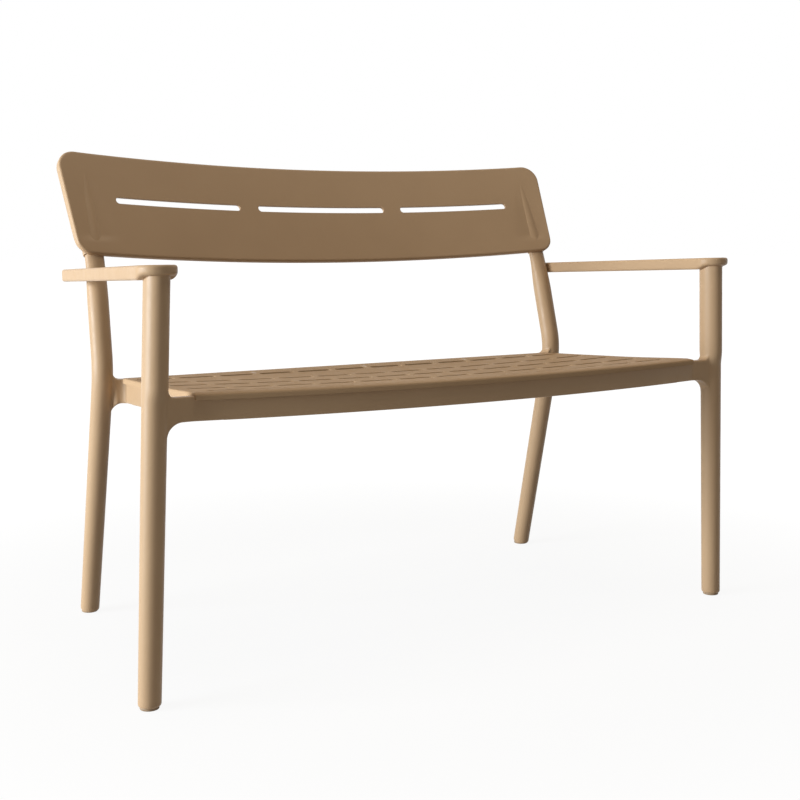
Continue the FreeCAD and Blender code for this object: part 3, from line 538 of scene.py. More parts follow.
def seat_parts(sizes):
    """Top sheet of the seat: cells round the slots, a margin to the outline, and the rolled lip."""
    dish = sizes.dish * 1000
    lip = sizes.lip * 1000
    side, turn = 12, 3
    cell = slot_cell(SLOT_PITCH, SLOT_ROW_PITCH, SLOT_PITCH - SLOT_WEB, sizes.slot_width * 1000,
                     side, turn, (0.0, 0.1, 0.28, 0.6, 1.0))
    columns = (np.arange(SLOT_COLUMNS) - (SLOT_COLUMNS - 1) / 2) * SLOT_PITCH
    rows = SEAT_REAR_Y - SLOT_REAR_MARGIN - np.arange(SLOT_ROWS)[::-1] * SLOT_ROW_PITCH
    middles = np.stack(np.meshgrid(columns, rows), -1).reshape(-1, 1, 1, 2)
    count = cell.shape[0] * cell.shape[1]
    one = grid_faces(cell.shape[0], cell.shape[1], True)
    faces = (one[None] + (np.arange(len(middles)) * count)[:, None, None]).reshape(-1, 4)
    parts = [(seat_top(middles + cell[None], dish), faces)]

    half = SLOT_COLUMNS * SLOT_PITCH / 2
    x_steps = np.linspace(-half, half, SLOT_COLUMNS * side + 1)
    y_steps = np.linspace(rows[0] - SLOT_ROW_PITCH / 2, rows[-1] + SLOT_ROW_PITCH / 2,
                          SLOT_ROWS * 2 * turn + 1)
    inner = block_edge(x_steps, y_steps)
    outline = seat_outline(len(x_steps) - 1, len(y_steps) - 1)
    inset = outline + inward(outline) * SEAT_EDGE
    levels = [seat_top(mix(inner, inset, share), dish) for share in (0, 0.2, 0.4, 0.6, 0.8, 1.0)]
    top = levels[-1][:, 2]
    for ring, drop in edge_rings(outline, SEAT_EDGE):
        levels.append(np.stack([ring[:, 0], ring[:, 1], top - drop], -1))
    for drop in (0.5 * (SEAT_EDGE + lip), lip):
        levels.append(np.stack([outline[:, 0], outline[:, 1], top - drop], -1))
    return parts + [rings(levels)]


def sheet_modifiers(piece, thickness, rounding):
    """A wall inwards from the sheet, then small rounded edges at its sharp turns."""
    wall = piece.modifiers.new("Wall", "SOLIDIFY")
    wall.thickness = thickness
    wall.offset = -1.0
    wall.use_even_offset = True
    soft = piece.modifiers.new("Soft edges", "BEVEL")
    soft.width = rounding
    soft.segments = 3
    soft.limit_method = "ANGLE"
    soft.angle_limit = math.radians(50)
    soft.use_clamp_overlap = True


class BENCH_OT_seat(bpy.types.Operator):
    """Dished seat with rows of short slots and a turned-down lip"""
    bl_idname = "bench.seat"
    bl_label = "Seat"

    def execute(self, context):
        sizes = context.scene.bench_sizes
        piece = build("seat_shell", seat_parts(sizes), (0, 0, 1))
        sheet_modifiers(piece, sizes.sheet, rounding=0.0004)
        matt = moulded_resin(context.scene.bench_finishes, "matt seat resin", satin=(0.55, 0.68), gloss=0.06)
        finish(piece, "seat_resin", matt, "seat_panel")
        return {"FINISHED"}


# Backrest

def back_place(x, rise, out):
    """Point of the backrest: along it, up its face, and out of it from its parabolic curve."""
    curve = BACK_CURVE * (x / BACK_CURVE_AT) ** 2
    level = np.asarray(rise)[..., None] * BACK_UP + (curve + out)[..., None] * BACK_OUT
    points = BACK_BASE + level
    points[..., 0] = x
    return points


def back_relief(x, rise, groove):
    """Soft valley parallel to each end: a slope that widens downwards inside it, a broad one outside.

    Both slopes are nearly straight and ease out at their far ends, and the valley's floor is rounded.
    The valley starts at its top, is deepest at its foot, and runs out at its end below that.
    """
    fall = np.clip((VALLEY_TOP - rise) / (VALLEY_TOP - VALLEY_FOOT), 0, 1)
    depth = groove * fall * smooth((rise - VALLEY_END) / (VALLEY_FOOT - VALLEY_END))
    beside = np.abs(x) - VALLEY_X
    width = np.where(beside < 0, mix(*VALLEY_INNER, fall), VALLEY_OUTER)
    away = np.sqrt(beside ** 2 + VALLEY_FLOOR ** 2) - VALLEY_FLOOR
    left = 1 - np.clip(away / width, 0, 1)
    return -depth * (1 + VALLEY_EASE) * left ** 2 / (left + VALLEY_EASE)


def back_rises(x):
    """Lower and upper edge of the backrest, which lift to the ends as parabolas."""
    share = (x / BACK_CURVE_AT) ** 2
    return BACK_LOW_RISE + BACK_LOW_LIFT * share, BACK_HEIGHT + BACK_TOP_LIFT * share


def back_outline(columns, rows):
    """Closed outline of the backrest, anticlockwise from the lower left corner's middle."""
    low_end = back_rises(BACK_LOW_HALF)[0]
    top_end = back_rises(BACK_TOP_HALF)[1]
    corners = [(-BACK_LOW_HALF, low_end), (BACK_LOW_HALF, low_end),
               (BACK_TOP_HALF, top_end), (-BACK_TOP_HALF, top_end)]
    halves = rounded_corners(corners, BACK_CORNER_RADII, 10)
    x = np.linspace(-480, 480, 97)
    low, top = (np.stack([x, edge], -1) for edge in back_rises(x))
    # a corner's bend counts for 40 or 60 mm a radian, so that it gets more of the points
    return np.vstack([even(np.vstack([halves[0][1], low, halves[1][0]]), columns, 40.0)[:-1],
                      even(np.vstack([halves[1][1], halves[2][0]]), rows, 60.0)[:-1],
                      even(np.vstack([halves[2][1], top[::-1], halves[3][0]]), columns, 40.0)[:-1],
                      even(np.vstack([halves[3][1], halves[0][0]]), rows, 60.0)[:-1]])


def backrest_parts(sizes):
    """Front sheet of the backrest: three slot cells, a margin to the outline, and the turned rim."""
    groove = sizes.groove * 1000
    join = (MIDDLE_SLOT_HALF + SIDE_SLOT[0]) / 2
    end = SIDE_SLOT[1] + SIDE_SLOT_MARGIN
    shares = np.array([0.0, 0.06, 0.16, 0.34, 0.6, 1.0])
    side, turn = 44, 8
    parts = []
    x_steps = [np.array([-end])]
    for left, right, first, last in ((-end, -join, -SIDE_SLOT[1], -SIDE_SLOT[0]),
                                     (-join, join, -MIDDLE_SLOT_HALF, MIDDLE_SLOT_HALF),
                                     (join, end, SIDE_SLOT[0], SIDE_SLOT[1])):
        cell = slot_cell(right - left, BACK_SLOT_BAND, last - first, sizes.back_slot * 1000,
                         side, turn, shares)
        x = cell[..., 0] + mix((first + last) / 2, (left + right) / 2, shares[:, None])
        rise = cell[..., 1] + BACK_SLOT_RISE
        parts.append(rings(back_place(x, rise, back_relief(x, rise, groove))))
        x_steps.append(np.linspace(left, right, side + 1)[1:])
    x_steps = np.concatenate(x_steps)
    y_steps = BACK_SLOT_RISE + BACK_SLOT_BAND * np.linspace(-0.5, 0.5, 2 * turn + 1)
    inner = block_edge(x_steps, y_steps)
    outline = back_outline(len(x_steps) - 1, len(y_steps) - 1)
    inset = outline + inward(outline) * BACK_EDGE
    levels = []
    for share in np.linspace(0, 1, 26):
        x, rise = mix(inner, inset, share).T
        levels.append(back_place(x, rise, back_relief(x, rise, groove)))
    for ring, drop in edge_rings(outline, BACK_EDGE):
        levels.append(back_place(ring[:, 0], ring[:, 1], np.full(len(ring), -drop)))
    # the rim is shallow along the lower edge and reaches its full depth at a rise of 46 mm
    rim = mix(BACK_LOW_RIM, BACK_RIM, smooth((outline[:, 1] - 6.0) / 40.0))
    for depth in (0.5 * (BACK_EDGE + rim), rim):
        levels.append(back_place(outline[:, 0], outline[:, 1], -depth))
    return parts + [rings(levels)]


def post_socket():
    """Sleeve behind the backrest: one oval carried up along the post, with a domed top."""
    turn = np.linspace(0, 2 * np.pi, 48, endpoint=False)
    rises = np.concatenate([[4.0, 5.5], np.linspace(8, 168, 14), [171, 173, 174.4, 175]])
    shrink = np.concatenate([[0.97, 1.0], np.ones(14), [0.97, 0.9, 0.75, 0.5]])
    half_x, half_y = ((half + SOCKET_WALL) * shrink[:, None] for half in POST_HALF)
    return (POST_FOOT + rises[:, None, None] * BACK_UP
            + (half_x * np.cos(turn))[..., None] * np.array([1.0, 0.0, 0.0])
            + (half_y * np.sin(turn))[..., None] * BACK_OUT)


class BENCH_OT_backrest(bpy.types.Operator):
    """Curved reclined backrest with three long slots, a turned rim and two post sockets"""
    bl_idname = "bench.backrest"
    bl_label = "Backrest"

    def execute(self, context):
        sizes = context.scene.bench_sizes
        resin = moulded_resin(context.scene.bench_finishes)
        piece = build("backrest_shell", backrest_parts(sizes), tuple(BACK_OUT))
        sheet_modifiers(piece, sizes.back_sheet, rounding=0.0012)
        finish(piece, "frame_resin", resin, "backrest_panel")
        for side, points in both(post_socket()):
            finish(build(side + "_post_socket", [band(points)]), "frame_resin", resin)
        return {"FINISHED"}


# Legs, corners and rails

def section_band(path_front, path_back, low, top, section):
    """A section carried along two plan curves: each of its corners is a share and an inset.

    A section row holds the share from the front curve to the back curve, the inset in that direction,
    the share from low to top, and the inset upwards. Low and top hold a height for each curve.
    """
    across = path_back - path_front
    width = np.linalg.norm(across, axis=1)[:, None]
    unit = across / width
    share, inset, rise, lift = (section[:, k] for k in range(4))
    plan = (path_front[:, None] + across[:, None] * share[None, :, None]
            + unit[:, None] * inset[None, :, None])
    low = mix(low[0][:, None], low[1][:, None], share[None])
    top = mix(top[0][:, None], top[1][:, None], share[None])
    height = mix(low, top, rise[None]) + lift[None]
    return np.concatenate([plan, height[..., None]], -1)


def bar_section(radius, count):
    """Closed rectangle with rounded corners, as rows for section_band."""
    rows = []
    for share, rise, first in ((0, 0, 180), (1, 0, 270), (1, 1, 0), (0, 1, 90)):
        turn = np.radians(np.linspace(first, first + 90, count + 1))
        centre_in = radius if share == 0 else -radius
        centre_up = radius if rise == 0 else -radius
        rows.append(np.stack([np.full(count + 1, share), centre_in + radius * np.cos(turn),
                              np.full(count + 1, rise), centre_up + radius * np.sin(turn)], -1))
    return np.vstack(rows)


def channel_section(radius, wall, count):
    """Channel open below: a rounded bar with a hollow of its own wall thickness."""
    outer = bar_section(radius, count)
    half = count + 1
    order = np.vstack([outer[half:], outer[:half]])
    inner = np.array([[0, wall, 0, 0], [0, wall, 1, -wall], [1, -wall, 1, -wall], [1, -wall, 0, 0]], float)
    return np.vstack([order, inner])


def rail_low(y):
    """Bottom of the frame: level under the front rail, falling to the rear rail."""
    share = np.clip((y - SEAT_FRONT_Y) / (REAR_RAIL_FACE - SEAT_FRONT_Y), 0, 1)
    return mix(FRONT_RAIL_Z, REAR_RAIL_Z, share)


def side_face(y):
    """Outer face of the side rail, which follows the end of the seat."""
    return seat_half(y) - OVERHANG


def rail_end(y):
    """Half the length of the front or rear rail whose face is at y, from the middle to its seam."""
    return side_face(y) - RAIL_DEPTH - CORNER_RUN


def front_leg_x(z):
    """Axis of the front leg, which leans evenly outwards to its foot."""
    return LEG_TOP_X + (foot_x - LEG_TOP_X) * (ARM_Z - z) / ARM_Z


def front_leg_half(z):
    """Half the width of the front leg: it tapers evenly from the seat to the foot."""
    return mix(LEG_FOOT_R, LEG_R, np.clip(z / (SEAT_FRONT_Z - LEG_OVAL_RISE / 2), 0, 1))


def foot_round(from_end, radius):
    """How much a leg is narrower near its foot: a quarter circle of that radius."""
    left = np.clip(radius - from_end, 0, radius)
    return radius - np.sqrt(radius ** 2 - left ** 2)


def front_leg_tube():
    """Leg as rings by height: tapered and round to the seat, oval above, rounded at the foot."""
    z = np.concatenate([GLIDE_Z + np.array([0, 0.3, 0.9, 1.8, 3.0]), np.linspace(12, 430, 80),
                        np.linspace(435, 495, 25), np.linspace(500, ARM_Z + LEG_IN_ARM, 28)])
    turn = np.linspace(0, 2 * np.pi, 72, endpoint=False)
    half_x = front_leg_half(z) - foot_round(z - GLIDE_Z, LEG_FOOT_EDGE)
    oval = smooth((z - (SEAT_FRONT_Z - LEG_OVAL_RISE / 2)) / LEG_OVAL_RISE)
    half_y = half_x + (LEG_OVAL_Y - LEG_R) * oval
    return np.stack([front_leg_x(z)[:, None] + half_x[:, None] * np.cos(turn),
                     half_y[:, None] * np.sin(turn),
                     np.broadcast_to(z[:, None], (len(z), len(turn)))], -1)


def fillet(along, start, radius):
    """Drop of a quarter-round fillet: nothing up to its start, a full radius at its end."""
    run = np.clip(along - start, 0, radius)
    return radius - np.sqrt(radius ** 2 - run ** 2)


def finer(curve):
    """The same plan curve with each of its steps divided into six."""
    run = np.linspace(0, len(curve) - 1, 6 * (len(curve) - 1) + 1)
    return np.stack([np.interp(run, np.arange(len(curve)), curve[:, k]) for k in (0, 1)], -1)


def front_corner_band():
    """Web from the leg to the frame and the bend into the side rail, as one swept section.

    Its front curve is the rail's face, which sinks a little under the end of the rail and swells
    softly into the round of the leg. Its back curve goes round the bend and along the web.
    """
    seam_x = rail_end(SEAT_FRONT_Y) - CORNER_LAP
    seam_y = FRONT_SEAM_Y + CORNER_LAP
    inner_y = seat_front(seam_x) + OVERHANG + RAIL_DEPTH
    bend_y = FRONT_WEB + FRONT_BEND
    bend = arc((side_face(bend_y) + FRONT_BEND, bend_y), FRONT_BEND, 180, 270, 10)
    to_leg = [515, 524, 528, 532, 536, 540, 552]
    back = finer(np.vstack([[(seam_x, inner_y)], [(side_face(inner_y) - RAIL_DEPTH, inner_y)],
                            [(side_face(seam_y) - RAIL_DEPTH, seam_y)], [(side_face(seam_y), seam_y)],
                            bend, [(x, FRONT_WEB) for x in to_leg]]))
    x = np.concatenate([[seam_x, 460, 468, 478], np.linspace(480, 500, 11), to_leg])
    sunk = 0.3 * (1 - smooth((x - 446.0) / 16.0))
    swell = 1.8 * smooth((x - 495.0) / 30.0)
    bulge = 2.0 * np.clip((x - 520.0) / 20.0, 0, 1) ** 2
    y = seat_front(np.minimum(x, SEAT_FRONT_HALF)) + OVERHANG + sunk - swell - bulge
    front = finer(np.stack([x, y], -1))
    middle = (front[:, 0] + back[:, 0]) / 2
    lowest = FRONT_RAIL_Z - FRONT_LOW_FILLET
    drop = fillet(middle, front_leg_x(lowest) - front_leg_half(lowest) - FRONT_LOW_REACH, FRONT_LOW_FILLET)
    rise = fillet(middle, front_leg_x(SEAT_FRONT_Z) - LEG_R - FRONT_TOP_REACH, FRONT_TOP_FILLET)
    off_seam = smooth((middle - seam_x) / SEAM_BLEND)
    low = [FRONT_RAIL_Z - drop, mix(FRONT_RAIL_Z, rail_low(back[:, 1]), off_seam) - drop]
    top = [lid_level(np.maximum(curve[:, 1], SEAT_FRONT_Y)) - CORNER_BELOW_LID + rise
           for curve in (front, back)]
    return section_band(front, back, low, top, bar_section(CORNER_EDGE, 4))


def soft_bend(first, corner, last):
    """Bend between two straight runs that would meet at a corner: a parabola that touches both."""
    share = np.linspace(0, 1, 21)[:, None]
    return (1 - share) ** 2 * first + 2 * share * (1 - share) * corner + share ** 2 * last


def rear_axis_points():
    """Rear leg's line: straight to a rounded kink, straight to a second bend, then up the backrest."""
    into = (KINK - REAR_FOOT) / np.linalg.norm(KINK - REAR_FOOT)
    out = (POST_FOOT - KINK) / np.linalg.norm(POST_FOOT - KINK)
    bend = soft_bend(KINK - into * KINK_REACH, KINK, KINK + out * KINK_REACH)
    lean = soft_bend(POST_FOOT - out * POST_REACH, POST_FOOT, POST_FOOT + BACK_UP * POST_REACH)
    foot = REAR_FOOT + into * (GLIDE_Z / into[2])
    return np.vstack([foot + into * np.array([[0.0], [0.4], [1.0], [2.0], [REAR_FOOT_EDGE]]),
                      mix(foot + into * 10, bend[0], np.linspace(0, 1, 60)[:, None])[:-1], bend,
                      mix(bend[-1], lean[0], np.linspace(0, 1, 20)[1:-1, None]), lean,
                      lean[-1] + BACK_UP * 20.0])


def rear_leg_tube():
    """Rear leg as rings square to its line, round and tapered below, flattened into the socket."""
    line = rear_axis_points()
    along = np.gradient(line, axis=0)
    along /= np.linalg.norm(along, axis=1)[:, None]
    flat = smooth(((line - POST_FOOT) @ BACK_UP + POST_FLAT_RUN) / POST_FLAT_RUN)
    radius = mix(REAR_FOOT_R, REAR_R, np.clip(line[:, 2] / KINK[2], 0, 1))
    radius = radius - foot_round(np.linalg.norm(line - line[0], axis=1), REAR_FOOT_EDGE)
    half_x, half_y = (mix(radius, half, flat)[:, None] for half in POST_HALF)
    turn = np.linspace(0, 2 * np.pi, 72, endpoint=False)
    side = np.array([1.0, 0.0, 0.0]) - along * along[:, :1]
    side /= np.linalg.norm(side, axis=1)[:, None]
    other = np.cross(along, side)
    return (line[:, None] + (half_x * np.cos(turn))[..., None] * side[:, None]
            + (half_y * np.sin(turn))[..., None] * other[:, None])


def rear_corner_band():
    """Web behind the seat out to the rear leg, and the bends into the side rail and the rear rail.

    Near the leg the web moves back as its fillet goes down, and so follows the raked leg.
    """
    near, far = KINK[1] - REAR_WEB_BEFORE, KINK[1] + REAR_WEB_BEHIND
    rail_inner = REAR_RAIL_FACE - RAIL_DEPTH
    seam_x = rail_end(REAR_RAIL_FACE) - CORNER_LAP
    seam_y = rail_inner - CORNER_RUN - CORNER_LAP
    back_x = side_face(REAR_RAIL_FACE) - RAIL_DEPTH / 3
    bend = arc((side_face(near - REAR_BEND) + REAR_BEND, near - REAR_BEND), REAR_BEND, 180, 90, 10)
    behind = arc((back_x + REAR_BEND, far - REAR_BEND), REAR_BEND, 180, 90, 10)
    front = finer(np.vstack([[(seam_x, rail_inner)], [(side_face(rail_inner) - RAIL_DEPTH, rail_inner)],
                             [(side_face(seam_y) - RAIL_DEPTH, seam_y)], [(side_face(seam_y), seam_y)],
                             bend, [(485, near)], [(496, near)]]))
    back = finer(np.vstack([[(x, REAR_RAIL_FACE) for x in (seam_x, 436, 444, back_x)],
                            behind, [(485, far)], [(496, far)]]))
    middle = (front[:, 0] + back[:, 0]) / 2
    leg_inner = KINK[0] - REAR_R
    drop = fillet(middle, leg_inner - REAR_LOW_REACH, REAR_LOW_FILLET)
    rise = fillet(middle, leg_inner - REAR_TOP_REACH, REAR_TOP_FILLET)
    off_seam = smooth((middle - seam_x) / SEAM_BLEND)
    low = [mix(REAR_RAIL_Z, rail_low(front[:, 1]), off_seam) - drop, REAR_RAIL_Z - drop]
    top = [lid_level(np.minimum(curve[:, 1], SEAT_REAR_Y)) - CORNER_BELOW_LID + rise
           for curve in (front, back)]
    points = section_band(front, back, low, top, bar_section(CORNER_EDGE, 4))
    below = np.clip(REAR_RAIL_Z - points[..., 2], 0, None)
    points[..., 1] += REAR_WEB_SLANT * below * smooth((points[..., 0] - 452.0) / 20.0)
    return points


def merge_modifiers(piece, voxel):
    """The leg and its corner become one skin, then its creases are eased."""
    skin = piece.modifiers.new("One skin", "REMESH")
    skin.mode = "VOXEL"
    skin.voxel_size = voxel
    skin.use_smooth_shade = True
    ease = piece.modifiers.new("Eased", "SMOOTH")
    ease.factor = 0.5
    ease.iterations = 8


class BENCH_OT_legs(bpy.types.Operator):
    """Four legs, each with the moulded corner that joins it to the seat frame"""
    bl_idname = "bench.legs"
    bl_label = "Legs"

    def execute(self, context):
        sizes = context.scene.bench_sizes
        resin = moulded_resin(context.scene.bench_finishes)
        for end, tube, corner in (("front", front_leg_tube(), front_corner_band()),
                                  ("rear", rear_leg_tube(), rear_corner_band())):
            for (side, leg_points), (_, corner_points) in zip(both(tube), both(corner)):
                piece = build(f"{side}_{end}_leg_skin", [band(leg_points), band(corner_points)])
                merge_modifiers(piece, sizes.voxel)
                finish(piece, "frame_resin", resin, f"{side}_{end}_leg")
        return {"FINISHED"}


def rail_band(front, back, low, top):
    """Channel open below with softly rounded outer edges, swept between two plan curves."""
    section = channel_section(RAIL_EDGE, RAIL_WALL, 4)
    low = low + np.zeros(len(front))
    top = top + np.zeros(len(front))
    return section_band(front, back, (low, low), (top, top), section)


class BENCH_OT_rails(bpy.types.Operator):
    """Front rail, rear rail and side rails under the edges of the seat"""
    bl_idname = "bench.rails"
    bl_label = "Rails"

    def execute(self, context):
        resin = moulded_resin(context.scene.bench_finishes)
        across = np.array([0, RAIL_DEPTH])
        end = rail_end(SEAT_FRONT_Y)
        x = np.linspace(-end, end, 121)
        face = np.stack([x, seat_front(x) + OVERHANG], -1)
        front = rail_band(face, face + across, FRONT_RAIL_Z, SEAT_FRONT_Z - FRONT_RAIL_BELOW_LID)
        end = rail_end(REAR_RAIL_FACE)
        x = np.linspace(-end, end, 41)
        face = np.stack([x, np.full(len(x), REAR_RAIL_FACE - RAIL_DEPTH)], -1)
        rear = rail_band(face, face + across, REAR_RAIL_Z, SEAT_REAR_Z - RAIL_BELOW_LID)
        y = np.linspace(FRONT_SEAM_Y, REAR_RAIL_FACE - RAIL_DEPTH - CORNER_RUN, 31)
        outer = np.stack([side_face(y), y], -1)
        inner = outer - np.array([RAIL_DEPTH, 0])
        (_, right), (_, left) = both(rail_band(inner, outer, rail_low(y), lid_level(y) - RAIL_BELOW_LID))
        rails = {"front_rail": front, "rear_rail": rear, "right_side_rail": right, "left_side_rail": left}
        for name, points in rails.items():
            finish(build(name + "_skin", [band(points)]), "frame_resin", resin, name)
        return {"FINISHED"}


# Arms

def in_paddle(y):
    """0 along the plank of an arm, easing to 1 at the tip of its paddle."""
    return smooth((PADDLE_START - y) / PADDLE_RUN)


def arm_outline():
    """Plan of an arm, anticlockwise: a round paddle over the leg, and a plank back past the post.

    The plank's sides are straight lines that flare into the paddle and meet its rear corners.
    """
    paddle = arc((LEG_TOP_X, 0.0), PADDLE_R, 180, 360, 48)
    corner_y = ARM_REAR_Y - ARM_CORNER_R
    y = np.linspace(0, corner_y, 60)[1:]
    flare = ARM_FLARE * (1 - smooth(y / ARM_FLARE_RUN))
    outer_x = mix(LEG_TOP_X + PADDLE_R - ARM_FLARE, ARM_REAR_OUTER - 0.3, y / ARM_REAR_Y) + flare
    inner_x = mix(LEG_TOP_X - PADDLE_R + 3.6, ARM_REAR_INNER - 0.2, y / ARM_REAR_Y) - 0.9 * flare
    rear_outer = arc((ARM_REAR_OUTER - ARM_CORNER_R, corner_y), ARM_CORNER_R, 0, 90, 10)
    rear_inner = arc((ARM_REAR_INNER + ARM_CORNER_R, corner_y), ARM_CORNER_R, 90, 180, 10)
    return even(np.vstack([paddle, np.stack([outer_x, y], -1), rear_outer, rear_inner,
                           np.stack([inner_x, y], -1)[::-1], paddle[:1]]), 320)[:-1]


def arm_rings(sizes):
    """Rings from the middle line out over the top, round the edge and back under: a closed form."""
    outline = arm_outline()
    to_inside = inward(outline)
    radius = sizes.arm_round * 1000
    middle_y = np.clip(outline[:, 1], 0, ARM_REAR_Y - 20.0)
    middle = np.stack([mix(LEG_TOP_X, ARM_REAR_MIDDLE, middle_y / ARM_REAR_Y), middle_y], -1)

    def ring(plan, drop):
        """Points at a drop below the arm's sloping top."""
        height = ARM_Z + ARM_THICK - ARM_FALL * plan[:, 1] / ARM_REAR_Y - drop
        return np.stack([plan[:, 0], plan[:, 1], height], -1)

    levels = [ring(mix(middle, outline + to_inside * radius, share), 0.0)
              for share in (0, 0.4, 0.75, 0.92, 1.0)]
    levels += [ring(plan, drop) for plan, drop in edge_rings(outline, radius)]
    # the paddle is thinner from below, and its lower edge is rounder than the plank's
    tip = in_paddle(outline[:, 1])
    under_in = radius + 3.5 * tip
    under_up = radius + 1.2 * tip
    for turn in (0.0, *QUARTER):
        levels.append(ring(outline + to_inside * (under_in * (1 - math.cos(turn)))[:, None],
                           ARM_THICK - PADDLE_THINNER * tip - under_up * (1 - math.sin(turn))))
    inner_edge = outline + to_inside * under_in[:, None]
    for share in (0.3, 0.65, 1.0):
        plan = mix(inner_edge, middle, share)
        levels.append(ring(plan, ARM_THICK - PADDLE_THINNER * in_paddle(plan[:, 1])))
    return np.stack(levels)


class BENCH_OT_arms(bpy.types.Operator):
    """Two flat arms with a rounded paddle over each front leg"""
    bl_idname = "bench.arms"
    bl_label = "Arms"

    def execute(self, context):
        resin = moulded_resin(context.scene.bench_finishes)
        for side, points in both(arm_rings(context.scene.bench_sizes)):
            finish(build(side + "_arm_skin", [rings(points)]), "frame_resin", resin, side + "_armrest")
        return {"FINISHED"}


# Feet and fasteners

class BENCH_OT_feet(bpy.types.Operator):
    """Four push-in glides, turned profiles under the legs"""
    bl_idname = "bench.feet"
    bl_label = "Feet"

    def execute(self, context):
        plastic = rubbery_plastic(context.scene.bench_finishes)
        radius = np.array([0.0, 13.2, 14.1, 14.5, 14.5, 14.3, 9.2, 9.2, 0.0])
        height = np.array([0.0, 0.0, 0.3, 1.0, 3.4, 4.0, 4.0, 12.0, 12.0])
        turn = np.linspace(0, 2 * np.pi, 48, endpoint=False)
        for node in ("front_right_glide", "front_left_glide", "rear_right_glide", "rear_left_glide"):
            low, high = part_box(node)
            middle = [1000 * (low[k] + high[k]) / 2 for k in (0, 1)]
            points = np.stack([middle[0] + radius[:, None] * np.cos(turn),
                               middle[1] - 1000 * axis_y + radius[:, None] * np.sin(turn),
                               np.broadcast_to(height[:, None], (len(height), len(turn)))], -1)
            finish(build(node + "_foot", [rings(points)]), "glide", plastic, node)
        return {"FINISHED"}


class BENCH_OT_fasteners(bpy.types.Operator):
    """Finishes of the bearers, screws and pins, which keep their own solids"""
    bl_idname = "bench.fasteners"
    bl_label = "Bearers and fasteners"

    def execute(self, context):
        finishes = context.scene.bench_finishes
        steel = zinc_steel(finishes)
        looks = {"bearer": moulded_resin(finishes), "screws": steel, "pins": steel}
        for name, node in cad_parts.items():
            for word, material in looks.items():
                if word in name:
                    node.data.materials.clear()
                    node.data.materials.append(material)
        return {"FINISHED"}


# Stage

def floor_material(colour):
    """White to the camera and in gloss, with real shading near the bench so that its shadow stays.

    The white share grows from the middle of the floor outwards, so that no edge or horizon shows.
    """
    material = bpy.data.materials.new("pale floor")
    material.use_nodes = True
    tree = material.node_tree
    tree.nodes.clear()
    out = tree.nodes.new("ShaderNodeOutputMaterial")
    plain = tree.nodes.new("ShaderNodeBsdfDiffuse")
    plain.inputs["Color"].default_value = (*colour, 1.0)
    white = tree.nodes.new("ShaderNodeEmission")
    white.inputs["Strength"].default_value = 1.06
    place = tree.nodes.new("ShaderNodeTexCoord").outputs["Object"]
    far = tree.nodes.new("ShaderNodeVectorMath")
    far.operation = "LENGTH"
    tree.links.new(place, far.inputs[0])
    fade = tree.nodes.new("ShaderNodeMapRange")
    fade.interpolation_type = "SMOOTHSTEP"
    for name, value in (("From Min", 0.6), ("From Max", 1.9), ("To Min", 0.86), ("To Max", 1.0)):
        fade.inputs[name].default_value = value
    tree.links.new(far.outputs["Value"], fade.inputs["Value"])
    scaled = tree.nodes.new("ShaderNodeMath")
    scaled.operation = "MULTIPLY"
    tree.links.new(seen_directly(tree), scaled.inputs[0])
    tree.links.new(fade.outputs["Result"], scaled.inputs[1])
    share = tree.nodes.new("ShaderNodeMixShader")
    tree.links.new(scaled.outputs[0], share.inputs["Fac"])
    tree.links.new(plain.outputs[0], share.inputs[1])
    tree.links.new(white.outputs[0], share.inputs[2])
    tree.links.new(share.outputs[0], out.inputs["Surface"])
    return material


def seen_directly(tree):
    """1 for rays from the camera, in gloss or through glass, 0 for light on the object."""
    path = tree.nodes.new("ShaderNodeLightPath")
    seen = path.outputs["Is Camera Ray"]
    for ray in ("Is Glossy Ray", "Is Transmission Ray"):
        either = tree.nodes.new("ShaderNodeMath")
        either.operation = "MAXIMUM"
        tree.links.new(seen, either.inputs[0])
        tree.links.new(path.outputs[ray], either.inputs[1])
        seen = either.outputs[0]
    return seen


def soft_lamp(name, place, aim, width, height, power, tint):
    """Rectangular area lamp that looks from its place to its aim."""
    lamp = bpy.data.lights.new(name, "AREA")
    lamp.shape = "RECTANGLE"
    lamp.size = width
    lamp.size_y = height
    lamp.energy = power
    lamp.color = tint
    holder = bpy.data.objects.new(name, lamp)
    bpy.context.scene.collection.objects.link(holder)
    way = np.array(aim) - np.array(place)
    flat = math.hypot(way[0], way[1])
    holder.location = place
    holder.rotation_euler = (math.atan2(flat, -way[2]), 0.0, math.atan2(way[1], way[0]) - math.pi / 2)


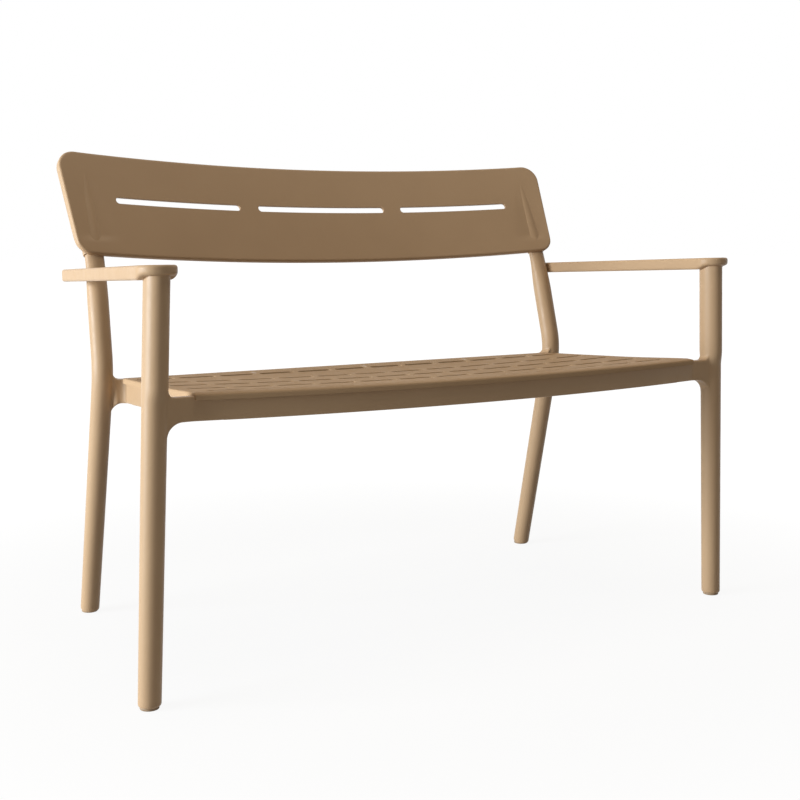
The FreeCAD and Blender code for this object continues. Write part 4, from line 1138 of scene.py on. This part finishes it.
class BENCH_OT_stage(bpy.types.Operator):
    """Floor, white surroundings, soft lamps and the camera of the photograph"""
    bl_idname = "bench.stage"
    bl_label = "Stage"

    def execute(self, context):
        scene = context.scene
        corner = 30.0
        mesh = bpy.data.meshes.new("floor")
        mesh.from_pydata([(-corner, -corner, 0), (corner, -corner, 0), (corner, corner, 0),
                          (-corner, corner, 0)], [], [(0, 1, 2, 3)])
        floor = bpy.data.objects.new("floor", mesh)
        scene.collection.objects.link(floor)
        mesh.materials.append(floor_material(scene.bench_finishes.floor))

        world = bpy.data.worlds.new("white room")
        scene.world = world
        world.use_nodes = True
        tree = world.node_tree
        light = tree.nodes["Background"]
        light.inputs["Color"].default_value = (1.0, 0.92, 0.8, 1.0)
        light.inputs["Strength"].default_value = 0.15
        white = tree.nodes.new("ShaderNodeBackground")
        white.inputs["Strength"].default_value = 1.0
        white.inputs["Color"].default_value = (1.0, 1.0, 1.0, 1.0)
        share = tree.nodes.new("ShaderNodeMixShader")
        tree.links.new(seen_directly(tree), share.inputs["Fac"])
        tree.links.new(light.outputs[0], share.inputs[1])
        tree.links.new(white.outputs[0], share.inputs[2])
        tree.links.new(share.outputs[0], tree.nodes["World Output"].inputs["Surface"])

        soft_lamp("key lamp", place=(-5.9, 0.8, 1.15), aim=(0.0, 0.0, 0.45), width=3.2, height=2.0,
                  power=580.0, tint=(0.88, 0.95, 1.0))
        soft_lamp("top lamp", place=(0.0, -0.4, 3.6), aim=(0.0, 0.0, 0.4), width=2.2, height=2.2,
                  power=42.0, tint=(1.0, 0.92, 0.79))

        lens = bpy.data.cameras.new("camera")
        lens.sensor_width = SENSOR_WIDTH
        lens.lens = FOCAL_LENGTH / PHOTO_WIDTH * SENSOR_WIDTH
        camera = bpy.data.objects.new("camera", lens)
        scene.collection.objects.link(camera)
        camera.location = (CAMERA_PLACE[0], CAMERA_PLACE[1] + axis_y, CAMERA_PLACE[2])
        camera.rotation_euler = (math.radians(90.0 - CAMERA_DOWN), 0.0, math.radians(-CAMERA_RIGHT))
        scene.camera = camera
        scene.view_settings.view_transform = "Standard"
        return {"FINISHED"}


class BENCH_PT_panel(bpy.types.Panel):
    """Sizes, finishes and the steps that dress the bench"""
    bl_idname = "BENCH_PT_panel"
    bl_label = "Garden bench"
    bl_space_type = "VIEW_3D"
    bl_region_type = "UI"
    bl_category = "Bench"

    def draw(self, context):
        layout = self.layout
        for group in (context.scene.bench_sizes, context.scene.bench_finishes):
            column = layout.column()
            for name in group.bl_rna.properties.keys():
                if name not in ("rna_type", "name"):
                    column.prop(group, name)
        for step in STEPS:
            layout.operator(step.bl_idname)


STEPS = (BENCH_OT_seat, BENCH_OT_backrest, BENCH_OT_legs, BENCH_OT_rails, BENCH_OT_arms, BENCH_OT_feet,
         BENCH_OT_fasteners, BENCH_OT_stage)
CLASSES = (BenchSizes, BenchFinishes) + STEPS + (BENCH_PT_panel,)


def register():
    for item in CLASSES:
        bpy.utils.register_class(item)
    bpy.types.Scene.bench_sizes = bpy.props.PointerProperty(type=BenchSizes)
    bpy.types.Scene.bench_finishes = bpy.props.PointerProperty(type=BenchFinishes)


def unregister():
    del bpy.types.Scene.bench_finishes
    del bpy.types.Scene.bench_sizes
    for item in reversed(CLASSES):
        bpy.utils.unregister_class(item)


def main():
    register()
    bpy.ops.bench.seat()
    bpy.ops.bench.backrest()
    bpy.ops.bench.legs()
    bpy.ops.bench.rails()
    bpy.ops.bench.arms()
    bpy.ops.bench.feet()
    bpy.ops.bench.fasteners()
    bpy.ops.bench.stage()


if __name__ == "__main__":
    main()
